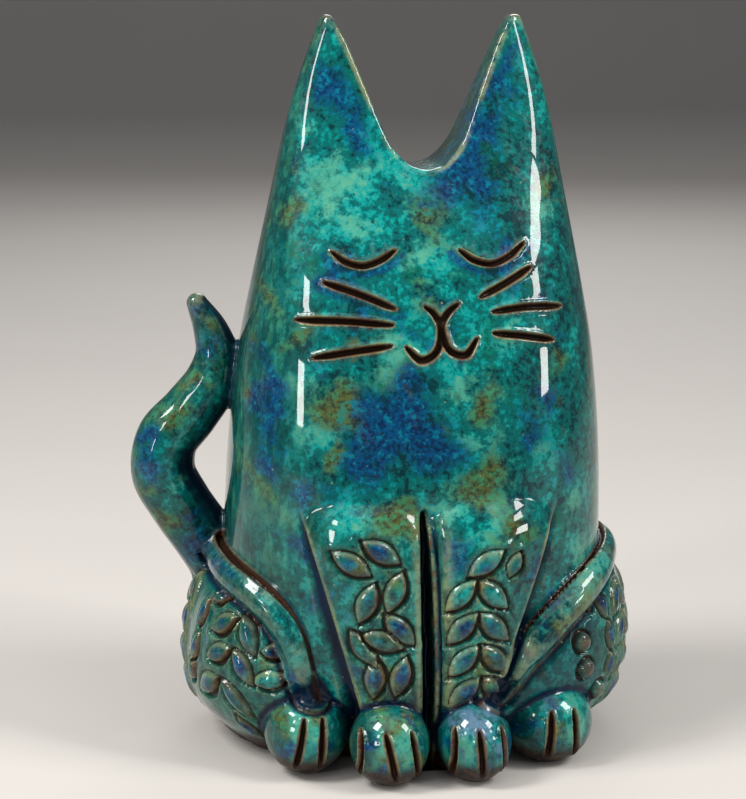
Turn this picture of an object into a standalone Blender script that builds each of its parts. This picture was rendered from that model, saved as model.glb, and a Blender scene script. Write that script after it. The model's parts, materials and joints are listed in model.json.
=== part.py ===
"""A hand-built, glazed clay cat: one fired piece that sits upright, about 210 mm tall.

Metres, +Z up. The cat faces -Y, +X is the viewer's right, and the origin lies on the
underside, on the body's upright axis. Places on the figure are shares of its half width,
its half depth and its height, so the pose follows those three sizes.
"""

import math

import bmesh
import bpy
import numpy as np

# Overall form.
HEIGHT = 0.210
BODY_WIDTH = 0.1085
BODY_DEPTH = 0.084
LEAN = 0.0036

# Ears and the notch between them.
NOTCH_DEPTH = 0.0425
NOTCH_WIDTH = 0.0560

# Limbs and tail.
LEG_HEIGHT = 0.0810
LEG_RISE = 0.0055
LEG_BACK = 0.0100
SLOT_WIDTH = 0.0050
SLOT_DEPTH = 0.0170
FRONT_PAW_WIDTH = 0.0218
HIND_PAW_WIDTH = 0.0248
HAUNCH_BULGE = 0.0122
ROLL_WIDTH = 0.0086
TAIL_WIDTH = 0.0204

# Tool marks and the pressed leaves.
STROKE_WIDTH = 0.0027
STROKE_DEPTH = 0.0018
CLAW_WIDTH = 0.0026
CLAW_DEPTH = 0.0021
LEAF_LENGTH = 0.0126
LEAF_WIDTH = 0.0054
LEAF_HEIGHT = 0.0009
LEAF_GROOVE = 0.0011
LEAF_ROW = 0.0094
BERRY_WIDTH = 0.0058

# Fineness of the solid.
CLAY_GRAIN = 0.0007
SPONGE_STROKES = 6
FACET_BUDGET = 9300
GROUND_CUT = 0.010

GLAZE_COLOUR = (0.010, 0.215, 0.205, 1.0)
GLAZE_ROUGHNESS = 0.12

LEFT, RIGHT = -1, 1


def at(across, forward, up):
    """A point given as shares of the body's half width, half depth and height."""
    return np.array((across * BODY_WIDTH / 2, -forward * BODY_DEPTH / 2, up * HEIGHT))


def lean(up):
    """How far the figure's middle drifts sideways: it leans a little to +X as it rises."""
    return LEAN * (up - 0.42)


def smooth_profile(knots, shares):
    """A smooth curve through the knots, as a function of the share along it."""
    knots = np.asarray(knots, float)
    values = np.asarray(shares, float)
    slopes = np.gradient(values, knots)

    def curve(t):
        t = np.clip(t, knots[0], knots[-1])
        i = np.clip(np.searchsorted(knots, t) - 1, 0, len(knots) - 2)
        span = knots[i + 1] - knots[i]
        s = (t - knots[i]) / span
        rise = values[i + 1] - values[i]
        start = slopes[i] * span
        end = slopes[i + 1] * span
        bend = (3 * rise - 2 * start - end) * s**2
        return values[i] + start * s + bend + (start + end - 2 * rise) * s**3

    return curve


def smooth_path(points, count):
    """Evenly numbered points along a smooth curve through the given ones."""
    points = np.asarray(points, float)
    steps = np.linalg.norm(np.diff(points[:, :3], axis=0), axis=1)
    knots = np.concatenate(([0.0], np.cumsum(steps)))
    along = np.linspace(0, knots[-1], count)
    columns = [smooth_profile(knots, points[:, column])(along) for column in range(points.shape[1])]
    return np.stack(columns, axis=1)


# The body's outline at shares of the height: half width, and depth before and behind its axis.
body_half_width = smooth_profile(
    (-0.06, 0.0, 0.05, 0.10, 0.25, 0.36, 0.43, 0.50, 0.57, 0.63, 0.70, 0.77, 0.84, 0.90, 0.95, 1.0, 1.03),
    (0.74, 0.83, 0.92, 0.96, 1.0, 0.995, 0.98, 0.955, 0.92, 0.875, 0.82, 0.765, 0.712, 0.655, 0.592,
     0.518, 0.47),
)
body_front_depth = smooth_profile(
    (-0.06, 0.0, 0.025, 0.05, 0.10, 0.22, 0.35, 0.45, 0.55, 0.65, 0.74, 0.82, 0.90, 1.03),
    (0.34, 0.50, 0.62, 0.73, 0.90, 0.99, 1.0, 0.96, 0.87, 0.72, 0.51, 0.33, 0.215, 0.10),
)
body_back_depth = smooth_profile(
    (-0.06, 0.0, 0.025, 0.05, 0.10, 0.22, 0.35, 0.45, 0.55, 0.65, 0.74, 0.82, 0.90, 1.03),
    (0.72, 0.82, 0.88, 0.92, 0.96, 0.995, 1.0, 0.96, 0.87, 0.72, 0.51, 0.33, 0.215, 0.10),
)
body_squareness = smooth_profile((-0.06, 0.30, 0.60, 0.80, 1.03), (2.3, 2.5, 2.8, 3.2, 3.2))


def on_body(turn, up, side=1, beyond=0.0):
    """A point of the body's skin: turned from the front towards one side, at a share of the height."""
    power = 2 / body_squareness(up)
    half_width = body_half_width(up) * BODY_WIDTH / 2 + beyond
    depth = body_front_depth(up) if np.cos(turn) > 0 else body_back_depth(up)
    half_depth = depth * BODY_DEPTH / 2 + beyond
    x = np.sign(np.sin(turn)) * np.abs(np.sin(turn)) ** power * half_width
    y = -np.sign(np.cos(turn)) * np.abs(np.cos(turn)) ** power * half_depth
    return np.array((side * x + lean(up), y, up * HEIGHT))


def body_front(x, up):
    """How far the body's skin stands before its axis, across and up the front."""
    power = float(body_squareness(up))
    share = min(0.999, abs(x) / (float(body_half_width(up)) * BODY_WIDTH / 2))
    return (1 - share**power) ** (1 / power) * float(body_front_depth(up)) * BODY_DEPTH / 2


def ring(centre, half_width, depths, squareness, around):
    """One level of a form: a rounded oblong of points, its depth given before and behind the centre."""
    angles = np.linspace(0, 2 * math.pi, around, endpoint=False)
    c = np.cos(angles)
    s = np.sin(angles)
    x = np.sign(c) * np.abs(c) ** (2 / squareness) * half_width
    y = np.sign(s) * np.abs(s) ** (2 / squareness) * np.where(s < 0, depths[0], depths[1])
    return np.stack([centre[0] + x, centre[1] + y, np.full(around, centre[2])], axis=1)


def loft(name, rings):
    """A closed mesh through rings of equally many points, from the lowest ring up."""
    shape = bmesh.new()
    levels = [[shape.verts.new(p) for p in points] for points in rings]
    around = len(levels[0])
    for low, high in zip(levels, levels[1:]):
        for i in range(around):
            j = (i + 1) % around
            shape.faces.new((low[i], low[j], high[j], high[i]))
    shape.faces.new(list(reversed(levels[0])))
    shape.faces.new(levels[-1])
    return finished(name, shape)


def finished(name, shape):
    """Turns a bmesh into an object of the scene."""
    bmesh.ops.recalc_face_normals(shape, faces=shape.faces)
    mesh = bpy.data.meshes.new(name)
    shape.to_mesh(mesh)
    shape.free()
    made = bpy.data.objects.new(name, mesh)
    bpy.context.scene.collection.objects.link(made)
    return made


def ball(name, centre, radii, turn=0.0):
    """An ellipsoid, turned about the upright."""
    shape = bmesh.new()
    bmesh.ops.create_uvsphere(shape, u_segments=32, v_segments=20, radius=1.0)
    cos, sin = math.cos(turn), math.sin(turn)
    for v in shape.verts:
        x, y, z = v.co.x * radii[0], v.co.y * radii[1], v.co.z * radii[2]
        v.co = (centre[0] + cos * x - sin * y, centre[1] + sin * x + cos * y, centre[2] + z)
    return finished(name, shape)


def tube(name, path, radii, around=20):
    """A coil of clay: rings square to a path, with rounded ends."""
    ahead = np.gradient(path, axis=0)
    ahead /= np.linalg.norm(ahead, axis=1)[:, None]
    side = np.cross(ahead, (0.0, 1.0, 0.0))
    side /= np.linalg.norm(side, axis=1)[:, None]
    up = np.cross(side, ahead)
    angles = np.linspace(0, 2 * math.pi, around, endpoint=False)
    caps = np.radians((75, 50, 25))
    stations = [(path[0] - ahead[0] * radii[0] * math.sin(c), 0, radii[0] * math.cos(c)) for c in caps]
    stations += [(path[i], i, radii[i]) for i in range(len(path))]
    last = len(path) - 1
    for c in caps[::-1]:
        tip = path[last] + ahead[last] * radii[last] * math.sin(c)
        stations.append((tip, last, radii[last] * math.cos(c)))
    rings = [
        centre + radius * (np.cos(angles)[:, None] * side[i] + np.sin(angles)[:, None] * up[i])
        for centre, i, radius in stations
    ]
    return loft(name, rings)


def make_body():
    """The hollow-looking bell of the body, drawn up to the height of the ears."""
    levels = np.linspace(-0.05, 1.0, 64)
    rings = [
        ring(
            (lean(up), 0.0, up * HEIGHT),
            body_half_width(up) * BODY_WIDTH / 2,
            (body_front_depth(up) * BODY_DEPTH / 2, body_back_depth(up) * BODY_DEPTH / 2),
            body_squareness(up),
            96,
        )
        for up in levels
    ]
    return loft("body", rings)


def notch_outline():
    """Half the notch's outline, seen from the front: how wide it is at each rise above its floor."""
    half_width = smooth_profile(
        (0.0, 0.02, 0.07, 0.16, 0.28, 0.48, 0.68, 0.84, 1.0, 1.25),
        (0.0, 0.12, 0.23, 0.345, 0.43, 0.55, 0.67, 0.77, 0.905, 1.12),
    )
    rises = np.concatenate((np.linspace(0, 0.1, 6)[1:], np.linspace(0.14, 1.25, 16)))
    return [(half_width(r) * NOTCH_WIDTH / 2, HEIGHT - NOTCH_DEPTH + r * NOTCH_DEPTH) for r in rises]


def cut_notch(body):
    """Cuts the body's top into two ears."""
    side = notch_outline()
    floor = [(0.0, HEIGHT - NOTCH_DEPTH)]
    outline = [(-x, z) for x, z in reversed(side)] + floor + side
    rings = [np.array([(x + lean(0.9), y, z) for x, z in outline]) for y in (-BODY_DEPTH, BODY_DEPTH)]
    cutter = loft("notch_cutter", rings)
    cut(body, cutter)


def cut(obj, cutter):
    """Takes the cutter's shape out of an object for good."""
    modifier = obj.modifiers.new("cut", "BOOLEAN")
    modifier.operation = "DIFFERENCE"
    modifier.solver = "EXACT"
    modifier.object = cutter
    settle(obj)
    bpy.data.objects.remove(cutter)


def settle(obj):
    """Replaces an object's mesh by its evaluated one, and drops its modifiers."""
    graph = bpy.context.evaluated_depsgraph_get()
    mesh = bpy.data.meshes.new_from_object(obj.evaluated_get(graph))
    obj.modifiers.clear()
    obj.data = mesh


# Edges of the front legs, as shares of the half width, at the foot and at the shoulder.
LEG_OUTER = {LEFT: (-0.380, -0.655), RIGHT: (0.285, 0.620)}
SLOT_LINE = (-0.020, -0.066)
leg_rise = smooth_profile(
    (-0.10, 0.0, 0.14, 0.28, 0.40, 0.55, 0.70, 0.82, 0.92, 1.0),
    (-1.5, -1.1, -0.25, 0.62, 0.95, 0.97, 0.92, 0.76, 0.46, -0.05),
)


def leg_edges(side, height):
    """Where a front leg's outer and inner edges run at a height."""
    up = (height / LEG_HEIGHT - 0.25) / 0.65
    outer = (LEG_OUTER[side][0] + (LEG_OUTER[side][1] - LEG_OUTER[side][0]) * up) * BODY_WIDTH / 2
    inner = slot_middle(height) - side * 0.1 * SLOT_WIDTH
    if height > LEG_HEIGHT * 0.84:
        spread = math.sqrt(max(0.02, 1 - ((height / LEG_HEIGHT - 0.84) / 0.17) ** 2))
        middle = 0.46 * outer + 0.54 * inner
        outer = middle + (outer - middle) * spread
        inner = middle + (inner - middle) * spread
    return outer, inner


def slot_middle(height):
    """Where the slot between the legs runs at a height."""
    up = min(1.0, max(0.0, height / (0.36 * HEIGHT)))
    return (SLOT_LINE[0] + (SLOT_LINE[1] - SLOT_LINE[0]) * up) * BODY_WIDTH / 2


def make_leg(name, side):
    """A front leg: a slab that stands proud of the belly and fades into the chest."""
    across = 24
    rings = []
    for height in np.linspace(-0.1 * LEG_HEIGHT, LEG_HEIGHT, 34):
        share = height / HEIGHT
        outer, inner = leg_edges(side, height)
        rise = float(leg_rise(height / LEG_HEIGHT)) * LEG_RISE
        front = []
        back = []
        for step in np.linspace(-1, 1, across):
            x = (outer + inner) / 2 + side * step * abs(outer - inner) / 2
            skin = body_front(x, max(share, 0.17))
            roundness = 1 - abs(step) ** 5
            front.append((x, -(skin + rise - (1 - roundness) * 0.35 * LEG_RISE), height))
            back.append((x, -(min(skin, body_front(x, max(share, 0.02))) - LEG_BACK), height))
        rings.append(np.array(front + back[::-1]))
    return loft(name, rings)


def make_slot():
    """The wedge that parts the front legs, pointed at its top."""
    rings = []
    for share, wide in ((-0.05, 1.0), (0.10, 1.0), (0.22, 1.0), (0.30, 0.90), (0.345, 0.64), (0.384, 0.18)):
        height = share * HEIGHT
        middle = slot_middle(height)
        half = wide * SLOT_WIDTH / 2
        back = -BODY_DEPTH / 2 - LEG_RISE + SLOT_DEPTH * (0.30 + 0.70 * wide)
        front = -BODY_DEPTH
        outline = ((half, front), (half * 0.6, back), (-half * 0.6, back), (-half, front))
        rings.append(np.array([(middle + x, y, height) for x, y in outline]))
    return loft("slot_cutter", rings)


# Paws: place as shares of half width, half depth and height, and size beside the named width.
PAWS = {
    ("front", LEFT): ((-0.235, 1.00, 0.0545), (1.03, 1.10, 1.09)),
    ("front", RIGHT): ((0.206, 1.00, 0.0535), (0.955, 1.10, 1.08)),
    ("hind", LEFT): ((-0.640, 0.70, 0.0595), (0.96, 1.06, 1.02)),
    ("hind", RIGHT): ((0.642, 0.68, 0.0545), (1.045, 1.06, 0.97)),
}


def paw_shape(pair, side):
    """A paw's middle and its three radii."""
    place, size = PAWS[pair, side]
    width = FRONT_PAW_WIDTH if pair == "front" else HIND_PAW_WIDTH
    return at(*place), np.array(size) * width / 2


def make_paws():
    """Four round paws, pressed flat where they stand."""
    return [ball(f"{pair}_paw", *paw_shape(pair, side)) for pair, side in PAWS]


# The rolled edge of each thigh on the body's skin: degrees round from the front, share of the height.
ROLL_KNOTS = {
    LEFT: (
        (33, 0.105), (36, 0.137), (38, 0.169), (41, 0.199), (47, 0.225), (57, 0.245), (72, 0.259),
        (90, 0.265), (110, 0.257), (130, 0.226), (146, 0.170), (154, 0.100), (158, 0.010),
    ),
    RIGHT: (
        (15, 0.112), (18, 0.132), (22, 0.158), (29, 0.186), (37, 0.214), (48, 0.240), (61, 0.261),
        (80, 0.271), (102, 0.266), (122, 0.243), (140, 0.190), (152, 0.110), (158, 0.010),
    ),
}


def roll_path(side):
    """The middle line of the roll, a little outside the body's skin."""
    knots = np.array(ROLL_KNOTS[side], float)
    points = [on_body(math.radians(turn), up, side, beyond=0.16 * ROLL_WIDTH) for turn, up in knots]
    return smooth_path(points, 60)


def roll_height(side, turn):
    """How high, as a share of the height, the roll runs at a turn from the front."""
    knots = np.array(ROLL_KNOTS[side], float)
    return np.interp(turn, np.radians(knots[:, 0]), knots[:, 1])


def make_roll(name, side):
    """The smooth coil that edges a thigh."""
    path = roll_path(side)
    share = np.linspace(0, 1, len(path))
    radii = (0.62 + 0.38 * np.clip(share / 0.16, 0, 1)) * ROLL_WIDTH / 2
    return tube(name, path, radii)


thigh_swell = smooth_profile(
    np.radians((10, 25, 40, 55, 70, 85, 102, 118, 132, 146, 158)),
    (0.16, 0.26, 0.38, 0.55, 0.72, 0.87, 1.0, 1.02, 0.84, 0.48, 0.15),
)
THIGH_FULLNESS = {LEFT: 1.12, RIGHT: 1.0}
thigh_rounding = smooth_profile((-0.05, 0.0, 0.03, 0.07, 0.12, 0.3), (0.0, 0.12, 0.48, 0.86, 1.0, 1.0))


def make_haunch(name, side):
    """A thigh: clay laid on the body's side inside its rolled edge, fullest low down."""
    turns = np.radians(np.linspace(ROLL_KNOTS[side][0][0] - 4, 160, 40))
    outer = []
    inner = []
    for turn in turns:
        top = float(roll_height(side, turn))
        fullness = float(thigh_swell(turn)) * THIGH_FULLNESS[side] * HAUNCH_BULGE
        outside = []
        inside = []
        for share in np.linspace(-0.22, 1.0, 26):
            up = share * top
            dome = (1 - max(0.0, share) ** 2.6) ** 0.62
            low = float(thigh_rounding(up))
            low += (1 - low) * min(1.0, max(0.0, (turn - 1.45) / 0.6))
            swell = fullness * dome * low
            outside.append(on_body(turn, up, side, beyond=swell + 0.10 * ROLL_WIDTH))
            inside.append(on_body(turn, up, side, beyond=-0.24 * BODY_DEPTH))
        outer.append(outside)
        inner.append(inside)
    return shell(name, outer, inner)


def shell(name, outer, inner):
    """A closed mesh between two grids of points."""
    shape = bmesh.new()
    grids = [[[shape.verts.new(p) for p in row] for row in grid] for grid in (outer, inner)]
    rows, columns = len(outer), len(outer[0])
    for grid in grids:
        for i in range(rows - 1):
            for j in range(columns - 1):
                shape.faces.new((grid[i][j], grid[i + 1][j], grid[i + 1][j + 1], grid[i][j + 1]))
    rim = [(i, 0) for i in range(rows)] + [(rows - 1, j) for j in range(1, columns)]
    rim += [(i, columns - 1) for i in range(rows - 2, -1, -1)] + [(0, j) for j in range(columns - 2, 0, -1)]
    for (i, j), (k, m) in zip(rim, rim[1:] + rim[:1]):
        shape.faces.new((grids[0][i][j], grids[0][k][m], grids[1][k][m], grids[1][i][j]))
    return finished(name, shape)


# The tail's middle line as shares of half width, half depth and height, and its share of the named width.
TAIL_POINTS = (
    (-0.740, -0.46, 0.120, 0.92), (-0.880, -0.42, 0.175, 0.92), (-0.990, -0.38, 0.228, 0.92),
    (-1.122, -0.33, 0.283, 0.91), (-1.238, -0.29, 0.330, 0.91), (-1.322, -0.29, 0.375, 0.93),
    (-1.302, -0.29, 0.416, 0.90), (-1.171, -0.29, 0.457, 0.84), (-1.055, -0.29, 0.500, 0.76),
    (-1.025, -0.29, 0.540, 0.62), (-1.057, -0.29, 0.572, 0.50), (-1.125, -0.29, 0.608, 0.31),
)
TAIL_JOIN = ((-0.935, -0.27, 0.520), (0.20, 0.20, 0.40))


def make_tail():
    """The tail: a coil that leans out from the left thigh, meets the side and turns out again."""
    path = smooth_path([(*at(*p[:3]), p[3]) for p in TAIL_POINTS], 60)
    place, size = TAIL_JOIN
    coil = tube("tail", path[:, :3], path[:, 3] * TAIL_WIDTH / 2, around=28)
    return [coil, ball("tail_join", at(*place), np.array(size) * TAIL_WIDTH)]


def join(name, objects):
    """One object that holds the meshes of several."""
    shape = bmesh.new()
    for obj in objects:
        shape.from_mesh(obj.data)
        bpy.data.objects.remove(obj)
    mesh = bpy.data.meshes.new(name)
    shape.to_mesh(mesh)
    shape.free()
    made = bpy.data.objects.new(name, mesh)
    bpy.context.scene.collection.objects.link(made)
    return made


def knead(obj, strokes):
    """Makes overlapping forms one skin of clay, and sponges its edges round."""
    remesh = obj.modifiers.new("one_skin", "REMESH")
    remesh.mode = "VOXEL"
    remesh.voxel_size = CLAY_GRAIN
    if strokes:
        sponge = obj.modifiers.new("sponge", "SMOOTH")
        sponge.factor = 0.5
        sponge.iterations = strokes
    settle(obj)


# Strokes of the face, seen from the front: shares of the half width and of the height.
FACE_STROKES = (
    ((-0.490, 0.699), (-0.420, 0.682), (-0.335, 0.676), (-0.250, 0.683), (-0.165, 0.701)),
    ((0.150, 0.699), (0.225, 0.682), (0.310, 0.676), (0.405, 0.684), (0.500, 0.708)),
    ((-0.530, 0.659), (-0.360, 0.645), (-0.180, 0.626)),
    ((-0.670, 0.611), (-0.430, 0.611), (-0.195, 0.606)),
    ((-0.595, 0.564), (-0.400, 0.573), (-0.205, 0.580)),
    ((0.255, 0.639), (0.390, 0.655), (0.530, 0.674)),
    ((0.315, 0.620), (0.500, 0.624), (0.685, 0.622)),
    ((0.315, 0.593), (0.470, 0.588), (0.635, 0.580)),
    ((-0.030, 0.628), (0.012, 0.620), (0.043, 0.606), (0.044, 0.590), (0.014, 0.570), (-0.055, 0.561),
     (-0.135, 0.578)),
    ((0.140, 0.631), (0.091, 0.622), (0.052, 0.606), (0.058, 0.590), (0.092, 0.572), (0.160, 0.566),
     (0.230, 0.587)),
)


def stroke_distance(x, z, path):
    """How far each point lies from a stroke's middle line, and the share along the stroke."""
    best = np.full(x.shape, 1e9)
    along = np.zeros(x.shape)
    last = len(path) - 1
    for i in range(last):
        (ax, az), (bx, bz) = path[i], path[i + 1]
        dx, dz = bx - ax, bz - az
        t = np.clip(((x - ax) * dx + (z - az) * dz) / (dx * dx + dz * dz), 0, 1)
        d = np.hypot(x - ax - t * dx, z - az - t * dz)
        closer = d < best
        best = np.where(closer, d, best)
        along = np.where(closer, (i + t) / last, along)
    return best, along


def furrow(distance, along, width, depth):
    """A stroke of a wooden tool: deepest in the middle, shallow at both ends."""
    ends = np.clip(np.minimum(along, 1 - along) * 6, 0, 1) ** 0.5
    return -depth * np.clip(1 - distance / (width / 2), 0, 1) * (0.35 + 0.65 * ends)


def leaf_relief(u, v, length, width):
    """A pressed leaf along u: a low crown with a fine groove round its outline."""
    reach = np.clip(1 - (2 * u / length) ** 2, 0, 1)
    edge = width / 2 * reach - np.abs(v)
    beyond = np.maximum(np.abs(u) - length / 2, 0)
    edge = np.where(beyond > 0, -np.hypot(beyond, v), edge)
    crown = LEAF_HEIGHT * np.clip(edge / (0.50 * width), 0, 1)
    groove = LEAF_GROOVE * np.clip(1 - np.abs(edge + 0.05 * width) / (0.19 * width), 0, 1)
    return crown - groove


def add_leaf(relief, x, z, middle, angle, length=LEAF_LENGTH, width=LEAF_WIDTH):
    """Presses one leaf into the relief; its angle is taken from +X towards +Z."""
    dx, dz = x - middle[0], z - middle[1]
    near = np.hypot(dx, dz) < 0.8 * length
    cos, sin = math.cos(angle), math.sin(angle)
    u = dx[near] * cos + dz[near] * sin
    v = -dx[near] * sin + dz[near] * cos
    made = leaf_relief(u, v, length, width)
    kept = relief[near]
    relief[near] = np.where(np.abs(made) > np.abs(kept), made, kept)


def add_chevrons(relief, x, z, top, rows, drift=0.0, slant=38.0):
    """A spray of leaves: pairs that hang from a stem, one row under another."""
    for row in range(rows):
        stem = (top[0] + drift * row, top[1] - LEAF_ROW * row)
        for side in (LEFT, RIGHT):
            angle = math.radians(-90 + side * slant)
            reach = 0.53 * LEAF_LENGTH
            middle = (stem[0] + reach * math.cos(angle), stem[1] + reach * math.sin(angle))
            add_leaf(relief, x, z, middle, angle)


def face_relief(p, n):
    """Closed eyes, whiskers, nose and mouth."""
    lift = np.zeros(len(p))
    zone = (n[:, 1] < -0.35) & (p[:, 2] > 0.5 * HEIGHT) & (p[:, 2] < 0.75 * HEIGHT)
    x, z = p[zone, 0], p[zone, 2]
    marks = np.zeros(len(x))
    for stroke in FACE_STROKES:
        path = smooth_path([at(a, 0, b) for a, b in stroke], 5 * len(stroke) - 3)[:, ::2]
        marks = np.minimum(marks, furrow(*stroke_distance(x, z, path), STROKE_WIDTH, STROKE_DEPTH))
    lift[zone] = marks * np.clip((-n[zone, 1] - 0.35) / 0.25, 0, 1)
    return lift


# Claw marks: place across the paw at the mark's top and at its foot, as shares of the half width.
CLAWS = {
    ("front", LEFT): ((-0.77, -0.80), (-0.23, 0.03), (0.42, 0.62)),
    ("front", RIGHT): ((-0.65, -0.70), (-0.06, 0.07), (0.58, 0.70)),
    ("hind", LEFT): ((-0.14, -0.34), (0.30, 0.24)),
    ("hind", RIGHT): ((-0.10, -0.16), (0.42, 0.47)),
}


def claw_relief(p, n):
    """Three marks on each front paw and two on each hind paw."""
    lift = np.zeros(len(p))
    for pair, side in PAWS:
        middle, radii = paw_shape(pair, side)
        out = p - middle
        zone = (np.linalg.norm(out / (radii * 1.12), axis=1) < 1) & (out[:, 1] < 0) & (n[:, 1] < -0.1)
        x, z = out[zone, 0], out[zone, 2]
        marks = np.zeros(len(x))
        for top, foot in CLAWS[pair, side]:
            path = [(top * radii[0], 0.28 * radii[2]), (foot * radii[0], -0.70 * radii[2])]
            marks = np.minimum(marks, furrow(*stroke_distance(x, z, path), CLAW_WIDTH, CLAW_DEPTH))
        lift[zone] = marks * np.clip((-n[zone, 1] - 0.1) / 0.2, 0, 1)
    return lift


# The left leg's leaves: place as shares of half width and height, and degrees above +X.
LEFT_LEG_LEAVES = (
    (-0.438, 0.303, -31), (-0.292, 0.326, -37), (-0.360, 0.251, -110), (-0.212, 0.266, -110),
    (-0.272, 0.199, -22), (-0.366, 0.186, -57), (-0.196, 0.215, -48), (-0.172, 0.150, -104),
    (-0.312, 0.140, -92),
)


def leg_relief(p, n):
    """Pressed leaves down the front of both legs."""
    lift = np.zeros(len(p))
    front = -BODY_DEPTH / 2 * 0.86
    zone = (n[:, 1] < -0.45) & (p[:, 1] < front) & (p[:, 2] > 0.105 * HEIGHT) & (p[:, 2] < 0.35 * HEIGHT)
    x, z = p[zone, 0], p[zone, 2]
    marks = np.zeros(len(x))
    stem_top = (0.198 * BODY_WIDTH / 2, 0.281 * HEIGHT)
    add_chevrons(marks, x, z, stem_top, rows=4, drift=0.04 * LEAF_LENGTH, slant=37)
    add_leaf(marks, x, z, (0.265 * BODY_WIDTH / 2, 0.308 * HEIGHT), math.radians(38))
    for across, up, angle in LEFT_LEG_LEAVES:
        add_leaf(marks, x, z, (across * BODY_WIDTH / 2, up * HEIGHT), math.radians(angle))
    for side in (LEFT, RIGHT):
        heights = [share * LEG_HEIGHT for share in (0.30, 0.60, 0.915)]
        path = [(leg_edges(side, h)[0] + side * 0.2 * STROKE_WIDTH, h) for h in heights]
        distance, along = stroke_distance(x, z, path)
        marks = np.minimum(marks, furrow(distance, np.minimum(along, 0.999), STROKE_WIDTH, STROKE_DEPTH))
    lift[zone] = marks * np.clip((-n[zone, 1] - 0.45) / 0.2, 0, 1)
    return lift


# Stems of the leaf sprays on the thighs: degrees round from the front, share of the height, rows.
STEMS = {
    LEFT: (
        (42, 0.205, 3), (59, 0.236, 4), (78, 0.222, 4), (97, 0.236, 4), (118, 0.205, 3), (138, 0.170, 2),
    ),
    RIGHT: ((63, 0.228, 4), (81, 0.240, 4), (100, 0.222, 4), (121, 0.200, 3), (140, 0.165, 2)),
}
BERRIES = ((46, 0.172), (48, 0.130), (52, 0.088))


def haunch_relief(p, n):
    """Sprays of pressed leaves round each thigh, and three berries in front on the right one."""
    lift = np.zeros(len(p))
    wrap = 0.5 * (BODY_WIDTH + HAUNCH_BULGE * 1.4)
    drift = 0.11 * LEAF_LENGTH
    for side in (LEFT, RIGHT):
        turn = np.arctan2(side * p[:, 0] / BODY_WIDTH, -p[:, 1] / BODY_DEPTH)
        up = p[:, 2] / HEIGHT
        zone = (turn > 0.45) & (turn < 2.75) & (up > 0.0) & (up < 0.27) & off_roll(p, side)
        for pair in ("front", "hind"):
            middle, radii = paw_shape(pair, side)
            zone &= np.linalg.norm((p - middle) / (radii * 1.13), axis=1) > 1
        zone &= np.hypot(p[:, 0] / BODY_WIDTH, p[:, 1] / BODY_DEPTH) < 0.70
        around, z = turn[zone] * wrap, p[zone, 2]
        marks = np.zeros(len(z))
        for degrees, top, rows in STEMS[side]:
            add_chevrons(marks, around, z, (math.radians(degrees) * wrap, top * HEIGHT), rows, drift, 36)
        if side == RIGHT:
            for degrees, height in BERRIES:
                d = np.hypot(around - math.radians(degrees) * wrap, z - height * HEIGHT)
                bump = 1.5 * LEAF_HEIGHT * np.clip(1 - (d / (BERRY_WIDTH / 2)) ** 2, 0, 1) ** 0.5
                rim = LEAF_GROOVE * np.clip(1 - np.abs(d - 0.56 * BERRY_WIDTH) / (0.16 * BERRY_WIDTH), 0, 1)
                marks = np.where(d < 0.75 * BERRY_WIDTH, bump - rim, marks)
        lift[zone] = marks
    return lift


def off_roll(p, side):
    """True for points of the thigh below its rolled edge."""
    turn = np.arctan2(side * p[:, 0] / BODY_WIDTH, -p[:, 1] / BODY_DEPTH)
    keep = (turn > 0) & (p[:, 2] < roll_height(side, turn) * HEIGHT)
    close = np.flatnonzero(keep)
    for q in roll_path(side):
        near = np.linalg.norm(p[close] - q, axis=1) < 0.56 * ROLL_WIDTH
        keep[close[near]] = False
        close = close[~near]
    return keep


def carve(obj):
    """Moves the skin in and out along its normals by the tool marks and pressed leaves."""
    mesh = obj.data
    count = len(mesh.vertices)
    p = np.empty(count * 3, np.float32)
    n = np.empty(count * 3, np.float32)
    mesh.vertices.foreach_get("co", p)
    mesh.vertices.foreach_get("normal", n)
    p = p.reshape(-1, 3).astype(float)
    n = n.reshape(-1, 3).astype(float)
    lift = face_relief(p, n) + claw_relief(p, n) + leg_relief(p, n) + haunch_relief(p, n)
    p += n * lift[:, None]
    mesh.vertices.foreach_set("co", p.astype(np.float32).ravel())
    mesh.update()


def make_ground():
    """A block under the floor, which gives the figure its flat underside."""
    shape = bmesh.new()
    bmesh.ops.create_cube(shape, size=1.0)
    for v in shape.verts:
        v.co.x *= 3 * BODY_WIDTH
        v.co.y *= 3 * BODY_DEPTH
        v.co.z = v.co.z * 5 * GROUND_CUT - 2.5 * GROUND_CUT
    made = finished("ground_cutter", shape)
    made.hide_render = True
    made.display_type = "WIRE"
    return made


def make_glaze():
    glaze = bpy.data.materials.new("glaze")
    glaze.use_nodes = True
    shader = glaze.node_tree.nodes["Principled BSDF"]
    shader.inputs["Base Color"].default_value = GLAZE_COLOUR
    shader.inputs["Roughness"].default_value = GLAZE_ROUGHNESS
    shader.inputs["Metallic"].default_value = 0.0
    glaze.diffuse_color = GLAZE_COLOUR
    return glaze


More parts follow.
